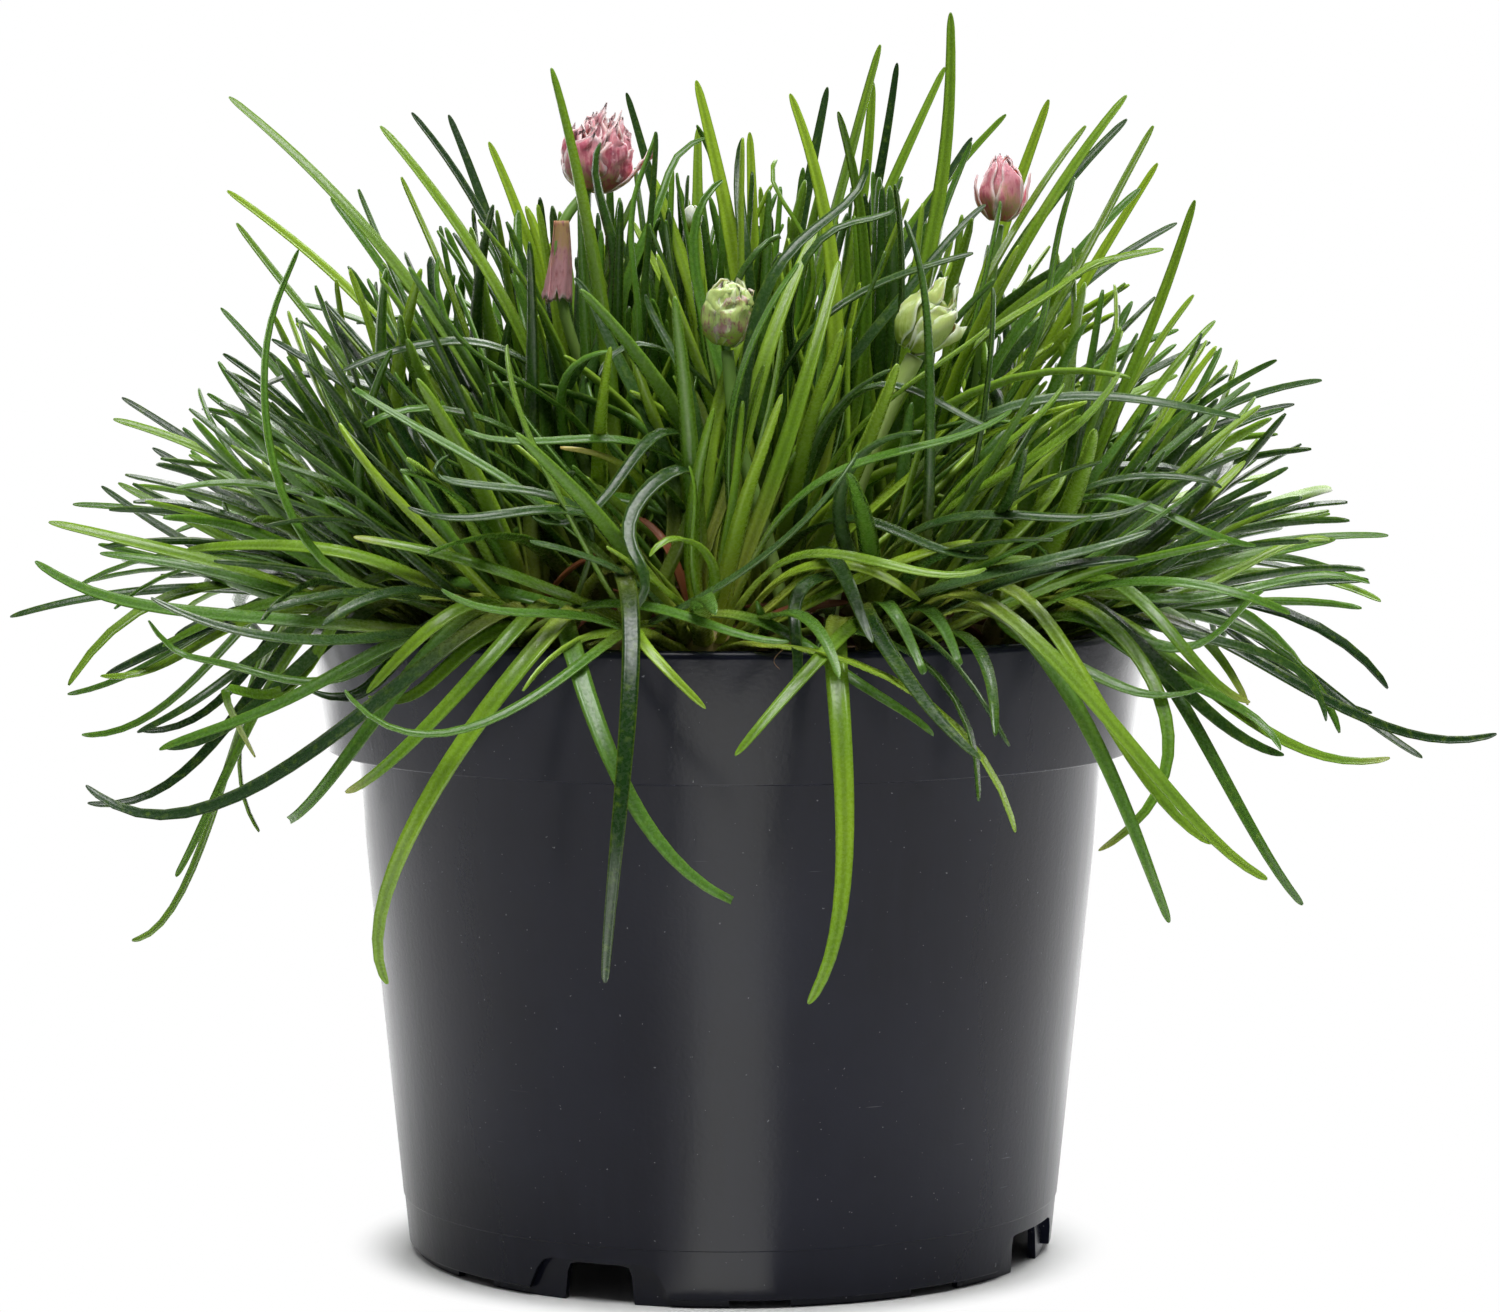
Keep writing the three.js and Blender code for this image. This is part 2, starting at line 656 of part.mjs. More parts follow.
function crowns() {
  const all = [];
  for (const ring of CROWN_RINGS) {
    for (let i = 0; i < ring.count; i += 1) {
      const bearing = degrees(ring.first + (360 / ring.count) * i);
      const outX = Math.sin(bearing);
      const outY = -Math.cos(bearing);
      all.push({
        ...ring,
        name: `${ring.name}_${i + 1}`,
        x: ring.reach * outX,
        y: ring.reach * outY,
        outX,
        outY,
        bearing,
        lean: degrees(ring.lean),
        spread: degrees(ring.spread),
        grown: [],
      });
    }
  }
  return all;
}

// A thing that leaves keep clear of: a crown, a stalk or a flower head.
function obstacle(lines, owner, crown) {
  return { lines, box: boxOf(lines), owner, crown };
}

function standingThings(all) {
  const things = all.map((crown) => {
    const foot = at(crown.x, crown.y, CROWN_FOOT);
    const shoulder = at(crown.x, crown.y, CROWN_TOP - 5);
    return obstacle([{ a: foot, b: shoulder, radius: CROWN_RADIUS }], crown.name, true);
  });
  for (const flower of FLOWERS) {
    const points = flower.route.map((place) => at(...place));
    const lines = points.slice(1).map((b, i) => ({ a: points[i], b, radius: flower.radius }));
    const centre = at(...flower.centre);
    const [across, tall] = flower.core;
    const lift = at(0, 0, Math.max(tall - across, 0) + 0.5);
    lines.push({ a: centre.clone().sub(lift), b: centre.clone().add(lift), radius: across + 1.6 });
    if (flower.sheathed) {
      const low = at(SHEATH.x, SHEATH.y, SHEATH.bottom);
      lines.push({ a: low, b: at(SHEATH.x, SHEATH.y, SHEATH.top), radius: SHEATH.bottomRadius + 0.3 });
    }
    things.push(obstacle(lines, flower.name, false));
  }
  return things;
}

// Tries one leaf, and keeps it where it is clear of everything.
function tryLeaf(crown, points, width, turn, shares, things) {
  const path = new ArchedPath([leafRoot(crown, points[0]), ...points]);
  const stations = leafStations(path, crown, turn, shares);
  const lines = leafLines(stations, width);
  if (!clearOfPot(lines, crown)) return false;
  const box = boxOf(lines);
  if (!things.every((thing) => clearOf(lines, box, thing, crown.name))) return false;
  things.push({ lines, box, owner: crown.name, crown: false });
  crown.grown.push({ stations, width });
  return true;
}

// The leaves that show singly keep their tips. Where one would touch another, it is bent a little.
function growShownLeaves(all, things, draw) {
  for (const crown of all) {
    for (const [width, ...places] of SHOWN_LEAVES[crown.name] ?? []) {
      for (let attempt = 0; attempt < 60; attempt += 1) {
        const sway = attempt * 0.16;
        const points = places.map((place, i) => {
          const isTip = i === places.length - 1;
          const shift = at(draw() - 0.5, draw() - 0.5, draw() - 0.3).multiplyScalar(sway);
          if (isTip) shift.set(0, shift.y, 0);
          return at(...place).add(shift);
        });
        const tip = points[points.length - 1];
        const headingX = (tip.x - crown.x) / Math.max(Math.hypot(tip.x - crown.x, tip.y - crown.y), 1);
        if (tryLeaf(crown, points, width, FACE_TURN * headingX, SHOWN_STATIONS, things)) break;
      }
    }
  }
}

// The middle and the tip of a leaf that leans further over along its second half.
function drooping(crown, bearing, lean, droop, swing, length) {
  const middle = stepFrom(at(crown.x, crown.y, LEAF_START), bearing, lean + droop * 0.1, length / 2);
  return [middle, stepFrom(middle, bearing + swing, lean + droop, length / 2)];
}

// Whether a leaf tip is within the round outline of the cushion.
function insideCushion(tip) {
  const { across, deep, up, low } = CUSHION;
  return (tip.x / across) ** 2 + (tip.y / deep) ** 2 + ((tip.z - low) / up) ** 2 < 1;
}

// The other leaves, spread evenly about the way that each crown leans, drooping as they go out.
function growFillingLeaves(all, things, draw) {
  for (const crown of all) {
    const missing = crown.leaves - crown.grown.length;
    for (let i = 0; i < missing; i += 1) {
      for (let attempt = 0; attempt < 40; attempt += 1) {
        const loose = 0.25 + 0.03 * attempt;
        const off = crown.spread * Math.sqrt((i + 0.5) / missing);
        const round = i * GOLDEN_TURN;
        const wanted = crown.lean + off * Math.cos(round) + (draw() - 0.5) * loose;
        const lean = Math.min(wanted, MOST_LEAN - 0.1 * draw());
        const aside = (off * Math.sin(round)) / Math.max(Math.sin(crown.lean), 0.35);
        const bearing = crown.bearing + aside + (draw() - 0.5) * loose;
        let length = crown.length * between(LENGTH_SHARES, draw);
        const droop = between(DROOPS, draw) * Math.sin(Math.max(lean, 0.15));
        const swing = between(SWINGS, draw);
        const width = between(WIDTHS, draw);
        const turn = between(TURNS, draw);
        let [middle, tip] = drooping(crown, bearing, lean, droop, swing, length);
        while (!insideCushion(tip)) {
          length *= SHORTER;
          [middle, tip] = drooping(crown, bearing, lean, droop, swing, length);
        }
        if (length < SHORTEST_LEAF) continue;
        if (tryLeaf(crown, [middle, tip], width, turn, FILLING_STATIONS, things)) break;
      }
    }
  }
}

// The point reached from another by going a distance at a bearing, leaning from the vertical.
function stepFrom(start, bearing, lean, distance) {
  const out = Math.sin(lean) * distance;
  return at(
    start.x + out * Math.sin(bearing),
    start.y - out * Math.cos(bearing),
    start.z + Math.cos(lean) * distance,
  );
}

function tuftSolid(crown) {
  const leaves = crown.grown.map(({ stations, width }) => leafSolid(stations, width));
  return wholeBody(joined([crownSolid(crown.x, crown.y), ...leaves]));
}

// A round stalk that tapers a little, along its route.
function stalkSolid(flower) {
  const path = new THREE.CatmullRomCurve3(flower.route.map((place) => at(...place)));
  const rings = [];
  const steps = flower.route.length - 1;
  for (let i = 0; i <= steps; i += 1) {
    const share = i / steps;
    const along = path.getTangent(share);
    const side = along.clone().cross(at(0, 1, 0)).normalize();
    const front = along.clone().cross(side);
    const radius = flower.radius * (1 - 0.15 * share);
    const ring = [];
    for (let n = 0; n < STALK_SIDES; n += 1) {
      const turn = (n / STALK_SIDES) * 2 * Math.PI;
      const corner = path.getPoint(share);
      corner.addScaledVector(side, radius * Math.cos(turn)).addScaledVector(front, radius * Math.sin(turn));
      ring.push(corner);
    }
    rings.push(ring);
  }
  const end = path.getPoint(1).addScaledVector(path.getTangent(1), 0.4);
  return lofted(rings, end);
}

// One scale of a bud: it springs from the bud's foot, hugs its side and closes over or flares at the top.
function budScale(flower, turn, draw) {
  const [across, tall] = flower.core;
  const centre = at(...flower.centre);
  const out = at(Math.cos(turn), Math.sin(turn), 0);
  const flare = across * (0.62 + flower.flare + 0.1 * flower.ragged * draw());
  const rise = tall * (1.02 + flower.ragged * 0.12 * draw());
  const points = [
    centre.clone().addScaledVector(out, across * 0.72).addScaledVector(UP, -tall * 0.6),
    centre.clone().addScaledVector(out, across * 1.05),
    centre.clone().addScaledVector(out, Math.max(flare, 0.3)).addScaledVector(UP, rise),
  ];
  const path = new ArchedPath(points);
  const sideways = at(-out.y, out.x, 0);
  const shares = [0, 0.4, 0.8];
  const widths = [0.45, 1, 0.75];
  const rings = shares.map((share, i) => {
    const middle = path.getPoint(share);
    const half = (flower.scaleWidth * widths[i]) / 2;
    const inwards = Math.min(across * 0.28, 1.4);
    return [
      middle.clone().addScaledVector(sideways, half).addScaledVector(out, -inwards),
      middle.clone().addScaledVector(sideways, -half).addScaledVector(out, -inwards),
      middle.clone(),
    ];
  });
  return lofted(rings, path.getPoint(1));
}

function budSolid(flower, draw) {
  const [across, tall] = flower.core;
  const core = new THREE.SphereGeometry(1, 6, 4);
  core.rotateX(Math.PI / 2).scale(across * 0.86, across * 0.86, tall * 0.94).translate(...flower.centre);
  const scales = [];
  for (let i = 0; i < flower.scales; i += 1) {
    scales.push(budScale(flower, (i * 2 * Math.PI) / flower.scales + 0.3 * draw(), draw));
  }
  return joined([solidOf(core), ...scales]);
}

function sheathSolid(flower) {
  const { x, y, top, bottom, topRadius, bottomRadius, sides } = SHEATH;
  const outline = [
    [0, bottom],
    [bottomRadius, bottom],
    [topRadius, top],
    [0, top],
  ];
  return solidOf(turned(outline, sides).translate(x, y, 0)).subtract(stalkSpace(flower));
}

// The space that a stalk takes, with its gap, to be cut out of what stands round it.
function stalkSpace(flower) {
  return stalkSolid({ ...flower, radius: flower.radius + SEAT_GAP + 0.05 });
}

function flowerMeshes(group) {
  const draw = seededDraws(77);
  for (const flower of FLOWERS) {
    const bud = wholeBody(budSolid(flower, draw).subtract(stalkSpace(flower)));
    const stalkColour = flower.radius > 1.2 ? "#a8bd6b" : "#7d9a4a";
    group.add(meshOf(`stalk_${flower.name}`, stalkSolid(flower), plainMaterial(stalkColour, 0.5)));
    group.add(meshOf(flower.name, bud, plainMaterial(flower.colour, 0.6)));
    if (flower.sheathed) {
      group.add(meshOf("sheath", sheathSolid(flower), plainMaterial("#c98a93", 0.7)));
    }
  }
}

function thrift() {
  const group = new THREE.Group();
  const all = crowns();
  const things = standingThings(all);
  const draw = seededDraws(2024);
  growShownLeaves(all, things, draw);
  growFillingLeaves(all, things, draw);
  const seats = all.map((crown) =>
    upright(CROWN_RADIUS + SEAT_GAP, CROWN_FOOT - SEAT_GAP, POT_HEIGHT, crown.x, crown.y, CROWN_SIDES),
  );
  for (const flower of FLOWERS) {
    const [x, y, foot] = flower.route[0];
    seats.push(upright(flower.radius + 0.6, foot - SEAT_GAP, POT_HEIGHT, x, y, STALK_SIDES));
  }
  group.add(meshOf("pot", potSolid(), plainMaterial("#2f3038", 0.45)));
  group.add(meshOf("compost", compostSolid(seats), plainMaterial("#3a2a20", 0.95)));
  for (const crown of all) {
    group.add(meshOf(crown.name, tuftSolid(crown), plainMaterial("#4f7a2c", 0.5)));
  }
  flowerMeshes(group);
  return group;
}

export default thrift();
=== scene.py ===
"""Potted broadleaf thrift: a dense cushion of narrow strap leaves with young flower heads, in a dark pot.

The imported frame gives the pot, the compost, the tufts and the flower heads. Each is replaced by a finer piece
that keeps its form. Shapes are worked out in millimetres and become metres where a mesh is made.
"""

import math

import bmesh
import bpy
import numpy as np
from bpy.props import FloatProperty, FloatVectorProperty, IntProperty, PointerProperty
from bpy.types import Operator, Panel, PropertyGroup
from mathutils import Matrix, Vector, noise


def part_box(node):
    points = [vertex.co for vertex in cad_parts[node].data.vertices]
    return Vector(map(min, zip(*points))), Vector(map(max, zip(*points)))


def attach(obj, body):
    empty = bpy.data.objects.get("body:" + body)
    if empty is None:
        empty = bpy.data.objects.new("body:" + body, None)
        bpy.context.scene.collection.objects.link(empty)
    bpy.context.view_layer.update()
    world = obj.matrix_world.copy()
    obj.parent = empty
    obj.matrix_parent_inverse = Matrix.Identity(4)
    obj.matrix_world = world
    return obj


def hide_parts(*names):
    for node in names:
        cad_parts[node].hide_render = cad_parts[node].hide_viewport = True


bl_info = {
    "name": "Potted Thrift",
    "version": (1, 0, 0),
    "blender": (4, 5, 0),
    "location": "View3D > Sidebar > Thrift",
    "description": "Builds a potted broadleaf thrift round its packed frame",
    "category": "Add Mesh",
}

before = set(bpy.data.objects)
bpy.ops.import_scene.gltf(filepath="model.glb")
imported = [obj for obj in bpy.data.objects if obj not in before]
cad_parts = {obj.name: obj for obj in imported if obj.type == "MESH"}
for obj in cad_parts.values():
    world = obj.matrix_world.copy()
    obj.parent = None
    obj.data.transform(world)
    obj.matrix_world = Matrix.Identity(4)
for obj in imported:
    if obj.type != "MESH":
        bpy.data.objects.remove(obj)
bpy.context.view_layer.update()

MM = 0.001

# The steps of the repeatable draws
DRAW_FACTOR = 1664525
DRAW_STEP = 1013904223
DRAW_RANGE = 2**32
FRAME_SEED = 2024
FINER_SEED = 404
CRUMB_SEED = 31

# The bracts and roots wander the same way at each run
WANDER_SEED = 5
noise.seed_set(WANDER_SEED)

# The camera that the photograph was taken with: its place in metres, and how far it looks down in radians
CAMERA_PLACE = (0.00306, -0.72, 0.1468)
CAMERA_DIP = 0.0768

# The pot, in millimetres
POT_SIDES = 160
POST_SIDES = 24
POT_HEIGHT = 97.0
RIM_RADIUS = 65.0
WALL = 1.2
BODY_TOP_RADIUS = 57.6
BODY_FOOT_RADIUS = 49.8
FOOT_RING_RADIUS = 48.7
FOOT_STEP_HEIGHT = 1.2
FOOT_FLARE = [(50.55, 8.6, 0.1), (50.72, 8.75, 0.1)]
FLOOR_UNDERSIDE = 6.5
FLOOR_TOP = 8.0
BAND_FOOT_RADIUS = 62.0
BAND_FOOT_HEIGHT = 77.7
NOTCH_COUNT = 4
NOTCH_BEARING = 67.0
NOTCH = {"foot": 24.0, "top": 18.0, "height": 6.3, "corner": 2.0}
RING_NOTCH = {"foot": 11.2, "top": 10.0, "height": 5.7, "corner": 1.5}
RING_GAP = {"foot": 9.0, "top": 9.0, "height": 1.0, "corner": 0.05}
RING_GAP_OFFSET = 16.7
RECESS_REACH = (40, 56)
RING_GAP_REACH = (42, 54)
DRAIN_HOLES = 6
DRAIN_HOLE_RADIUS = 3.5
DRAIN_HOLE_REACH = 36.0
SHARP_EDGE = math.radians(24)

# The compost and the crowns that stand in it, in millimetres
SOIL_TOP = 92.0
COMPOST_SIDES = 110
COMPOST_RINGS = 44
COMPOST_GAP = 0.3
COMPOST_EDGE = 1.2
BROAD_LUMPS = {"scale": 0.22, "height": 1.1}
FINE_LUMPS = {"scale": 0.75, "height": 0.75}
LUMP_SINK = 0.2
CRUMB_REACH = 60.5
CRUMB_SHAPE = (1, 0.75, 0.6)
CRUMB_BUMPS = 0.5
CRUMB_LIFT = 0.15
CRUMB_SIZES = (0.6, 1.5)
SOIL_CLEARANCE = 1.9
CROWN_FOOT = 84.0
CROWN_RADIUS = 5.2
CROWN_SHOULDER = 96.5
CROWN_SIDES = 14
CROWN_PROFILE = [(84, 5.0), (89, 5.15), (92.5, 5.2), (95, 5.1), (97.5, 4.5), (99.5, 3.4), (101, 1.4)]
CROWN_FLUTES = (7, 0.05)
CROWN_TONE = {"along": 0.02, "fresh": 0.35, "dry": 0.25, "edge": 0.3}
HEAD_CLEARANCE = 1.6
HEAD_LIFT = 0.5
SHEATH_CLEARANCE = 0.3

# How the leaves grow, in millimetres and radians
LEAF_START = 93.0
LEAF_START_RISE = 4.5
SHOWN_STATIONS = [0, 0.24, 0.48, 0.7, 0.9, 1]
FILLING_STATIONS = [0, 0.3, 0.62, 0.88, 1]
BASE_SPREAD = 3.0
FACE_TURN = 0.9
LINE_RADIUS = 0.5
LEAF_GAP = 0.2
RIM_CLEARANCE = 1.5
CUSHION = {"across": 103.0, "deep": 100.0, "up": 84.0, "low": 84.0}
MOST_LEAN = 1.15
SHORTEST_LEAF = 30.0
SHORTEST_EXTRA = 26.0
LENGTH_SHARES = (0.78, 1.12)
DROOPS = (0.25, 0.8)
SWINGS = (-0.25, 0.25)
WIDTHS = (2.2, 3.0)
TURNS = (-0.8, 0.8)
GOLDEN_TURN = 2.4
SHORTER = 0.94

# The steps of a leaf, each with its share of the leaf's swing to the side and of its droop
FILLING_BENDS = ((0, 0.1), (1, 1))
EXTRA_BENDS = ((0.1, 0.1), (0.5, 0.5), (1, 1))

# How the leaves of the frame are tried, and how near they come to each other
LEAST_LEAN_SINE = 0.35
LEAST_DROOP_LEAN = 0.15
LEAN_LEEWAY = 0.1
FILLING_TRIES = 40
LOOSENESS = (0.25, 0.03)
PLACED_TRIES = 60
PLACED_BEND = 0.16
LINE_DEPTH = 0.3
LINE_SHARE = 3

# The finer leaves have a line of their own down the middle, which may come this much nearer to others
FINER_SIDES = (0,)
PLACED_GAP = -0.35
EXTRA_GAP = -0.25

# Places that no added leaf hides from the front: where each is, and how wide it is
OPEN_TO_FRONT = [
    ((-20, -16, 167), 5.5),
    ((-25, -19, 151), 3.0),
    ((40.9, -12, 162), 4.5),
    ((-0.2, -46, 144), 5.5),
    ((28.3, -40, 143), 6.0),
    ((22, -39, 127), 3.5),
    ((-5.8, -10, 158.4), 2.5),
    ((-5, -48, 106), 4.5),
    ((-3, -48, 116), 4.5),
    ((0, -48, 127), 4.0),
    ((-3, -50, 99), 3.5),
    ((24.5, -39, 133.5), 2.5),
    ((19, -38, 119.5), 2.5),
]
SIGHT_LENGTH = 70.0

# The part of a leaf that is kept in sight: from a share of its length on, for a length towards the camera
LEAF_SIGHT = {"leaves_outer": 0.4, "leaves_inner": 0.6, "leaves_middle": 0.7}
LEAF_SIGHT_LENGTH = 32.0
LEAF_SIGHT_END = 0.98
LEAF_SIGHT_POINTS = 9
LEAF_SIGHT_START = 2.4
LEAF_SIGHT_RADIUS = 0.75
FRONT_HALF = -5.0

# Rings of crowns: bearings are from the front towards +X, in degrees
CROWN_RINGS = [
    dict(name="leaves_outer", count=11, first=-4, reach=48, lean=44, spread=38, leaves=15, length=70),
    dict(name="leaves_inner", count=6, first=12, reach=26, lean=22, spread=34, leaves=17, length=80),
    dict(name="leaves_middle", count=1, first=0, reach=0, lean=3, spread=30, leaves=20, length=76),
]

# The leaves that show singly, crown by crown: a width, the points that the leaf passes, its tip last.
# An added name says how the leaf ends or what tone it has.
SHOWN_LEAVES = {
    "leaves_outer_1": [
        [2.6, [9, -44, 127], [16, -38, 152], "bright"],
        [2.6, [5, -43, 131], [13, -30, 157]],
        [2.4, [1, -52, 122], [5, -50, 137], "bright"],
        [2.3, [-1, -54, 117], [2, -55, 132], "bright"],
        [2.2, [-5, -56, 116], [-2, -60, 131], "bright"],
        [2.4, [1, -46, 126], [3, -41, 144]],
        [2.6, [-29, -60, 107], [-53, -60, 113], "brown"],
        [2.3, [-9, -62, 106], [-17, -68, 112]],
        [2.4, [17, -60, 109], [27, -63, 104]],
        [2.0, [-12, -72, 99], [-3, -77, 90]],
    ],
    "leaves_outer_2": [
        [2.9, [15, -68, 99], [16, -80, 79], [11, -84, 50], "bright"],
        [2.3, [14, -71, 98], [9, -78, 92], [1, -82, 84], "bright"],
        [2.5, [20, -68, 101], [26, -83, 93], [34, -95, 85]],
        [2.4, [22, -65, 103], [27, -78, 95], "cut"],
        [2.4, [28, -63, 103], [32, -76, 96], "cut"],
        [2.6, [38, -66, 103], [53, -72, 88], [76, -66, 65]],
        [2.4, [42, -60, 104], [58, -70, 80], [68, -66, 70]],
        [2.6, [41, -64, 100], [53, -70, 81], [62, -68, 59]],
        [2.6, [33, -57, 107], [43, -58, 110]],
        [2.5, [33, -46, 119], [44, -42, 131]],
        [2.3, [25, -50, 116], [34, -50, 126]],
    ],
    "leaves_outer_3": [
        [2.4, [62, -34, 100], [89, -36, 87], [114, -28, 82]],
        [2.4, [58, -44, 99], [78, -48, 84], [96, -44, 80], "brown"],
        [2.7, [55, -46, 100], [70, -53, 86], [80, -50, 81]],
        [2.3, [55, -40, 100], [72, -54, 76], [83, -48, 59]],
        [2.2, [53, -49, 101], [62, -60, 87], [52, -66, 69], "brown"],
        [2.3, [62, -30, 101], [76, -38, 87], "brown"],
        [2.7, [64, -38, 99], [78, -32, 104]],
        [2.6, [78, -20, 101], [97, -12, 104], "dull"],
        [2.8, [72, -18, 105], [92, -10, 110]],
        [2.9, [64, -22, 146], [69, -24, 161], "bright"],
        [2.4, [56, -34, 121], [62, -36, 132]],
        [2.5, [68, -16, 113], [78, -12, 122]],
    ],
    "leaves_outer_4": [
        [2.3, [66, -2, 101], [90, -6, 88], [105, -14, 77]],
        [2.2, [66, 6, 101], [83, 10, 91], [100, 6, 82]],
        [2.3, [87, 4, 101], [100, 0, 100]],
        [2.3, [81, -4, 104], [95, -2, 104]],
        [2.2, [86, 14, 106], [104, 19, 109]],
        [2.2, [72, 2, 112], [83, 3, 116]],
        [2.2, [78, -4, 131], [90, -8, 134]],
        [2.1, [71, 4, 129], [84, 0, 137]],
        [2.0, [73, 10, 126], [88, 10, 130]],
        [2.1, [69, 0, 137], [75, 5, 143]],
        [2.2, [65, -2, 139], [71, -2, 147]],
    ],
    "leaves_inner_2": [
        [2.6, [49, -8, 148], [66, -4, 154], "bright"],
        [2.2, [56, 2, 150], [69, 5, 158]],
        [2.9, [53, -11, 156], [62, -12, 163]],
        [3.0, [54, -18, 158], [63, -21, 172], "bright"],
        [2.5, [57, -5, 158], [65, -3, 167]],
        [3.0, [49, -11, 163], [60, -10, 177], "bright"],
        [2.6, [50, 0, 162], [61, 3, 174]],
        [3.0, [44, -18, 159], [53, -21, 172]],
        [2.7, [43, 4, 160], [49, 4, 177]],
    ],
    "leaves_inner_1": [
        [2.9, [31, -19, 160], [33, -17, 189], "bright"],
        [2.6, [20, -22, 155], [16, -24, 174]],
        [2.5, [14, -20, 160], [9, -17, 177]],
        [3.0, [2, -27, 152], [2, -29, 170]],
        [2.8, [0, -19, 157], [-5, -16, 179]],
        [2.5, [25, -30, 152], [24, -34, 163], "dull"],
        [2.6, [13, -31, 140], [16, -32, 152]],
    ],
    "leaves_middle_1": [
        [3.0, [16, -4, 160], [23, -2, 185], "bright"],
        [2.8, [20, 4, 160], [22, 7, 180], "bright"],
        [2.2, [22, 10, 160], [26, 13, 183]],
        [2.6, [24, 1, 162], [33, 4, 182], "bright"],
        [2.5, [11, 4, 158], [15, 6, 179]],
        [2.4, [4, 3, 154], [3, 4, 172]],
        [2.3, [-10, 2, 156], [-16, 4, 178], "dull"],
        [2.5, [-5, 8, 156], [-5, 11, 173]],
        [2.2, [30, 10, 159], [43, 14, 175]],
        [2.4, [28, -2, 156], [37, -1, 171]],
    ],
    "leaves_inner_6": [
        [3.0, [-20, -30, 153], [-26, -33, 180], "bright"],
        [2.9, [-38, -24, 154], [-52, -20, 172], "bright"],
        [2.5, [-43, -35, 127], [-59, -34, 146]],
        [2.4, [-36, -36, 140], [-56, -42, 136], "dull"],
        [2.7, [-13, -26, 152], [-11, -26, 171]],
        [2.5, [-49, -14, 150], [-76, -6, 177]],
        [2.5, [-30, -44, 117], [-41, -50, 124]],
    ],
    "leaves_inner_5": [
        [2.4, [-38, 2, 159], [-49, 4, 175]],
        [2.3, [-37, 10, 157], [-44, 14, 175]],
        [2.4, [-32, 16, 156], [-38, 19, 171]],
        [2.6, [-60, 2, 149], [-77, 0, 163]],
        [2.6, [-62, -5, 141], [-75, -5, 158]],
        [2.4, [-53, 6, 150], [-62, 9, 162]],
        [2.5, [-51, -6, 150], [-56, -9, 163]],
        [2.5, [-46, -1, 150], [-50, -2, 165]],
    ],
    "leaves_outer_9": [
        [2.2, [-81, 8, 100], [-112, 6, 97], "dull"],
        [2.0, [-85, 17, 112], [-104, 19, 114]],
        [2.1, [-86, 13, 107], [-99, 17, 117], "dull"],
        [2.6, [-80, 6, 110], [-95, 6, 118]],
        [2.4, [-82, 15, 117], [-91, 17, 123]],
        [2.5, [-81, 1, 123], [-95, 1, 128], "bright"],
        [2.1, [-82, 9, 123], [-95, 11, 131]],
        [2.5, [-71, 2, 119], [-80, 0, 132]],
        [2.4, [-68, 3, 130], [-78, 1, 138]],
        [2.0, [-70, 13, 134], [-80, 16, 145]],
        [2.2, [-64, 6, 101], [-88, 10, 84], [-102, 10, 78]],
        [2.0, [-64, 14, 101], [-91, 17, 89], [-105, 18, 84]],
        [2.2, [-62, 2, 101], [-77, -1, 87], [-91, -3, 80]],
    ],
    "leaves_outer_10": [
        [2.9, [-77, -22, 107], [-102, -20, 113], "bright"],
        [2.5, [-71, -31, 105], [-93, -30, 109]],
        [2.7, [-60, -19, 101], [-77, -24, 96], [-94, -19, 90]],
        [2.3, [-58, -25, 101], [-76, -31, 83], [-95, -32, 72]],
        [2.7, [-53, -36, 101], [-68, -42, 88], [-83, -38, 81], "dull"],
        [2.2, [-60, -15, 102], [-74, -19, 76], [-91, -12, 49]],
        [2.2, [-56, -29, 101], [-73, -28, 82], [-83, -24, 60]],
        [2.1, [-60, -9, 101], [-74, -4, 80], [-73, 2, 64]],
        [2.3, [-58, -33, 103], [-84, -28, 95]],
    ],
    "leaves_outer_11": [
        [2.8, [-54, -48, 99], [-84, -44, 102], [-102, -34, 108]],
        [2.8, [-48, -50, 108], [-79, -40, 110], "bright"],
        [2.9, [-33, -62, 102], [-60, -66, 82], [-92, -54, 77]],
        [2.6, [-38, -58, 101], [-50, -64, 87], [-63, -56, 72], "cut"],
        [2.4, [-29, -64, 101], [-41, -70, 88], [-54, -64, 77], "brown"],
        [2.7, [-25, -69, 100], [-38, -75, 83], [-48, -66, 50], "bright"],
        [2.7, [-20, -70, 99], [-16, -81, 78], [1, -84, 64], "cut"],
        [2.4, [-14, -68, 100], [-18, -84, 80], [-17, -80, 52]],
        [2.6, [-36, -60, 101], [-51, -65, 91], "bright"],
    ],
}

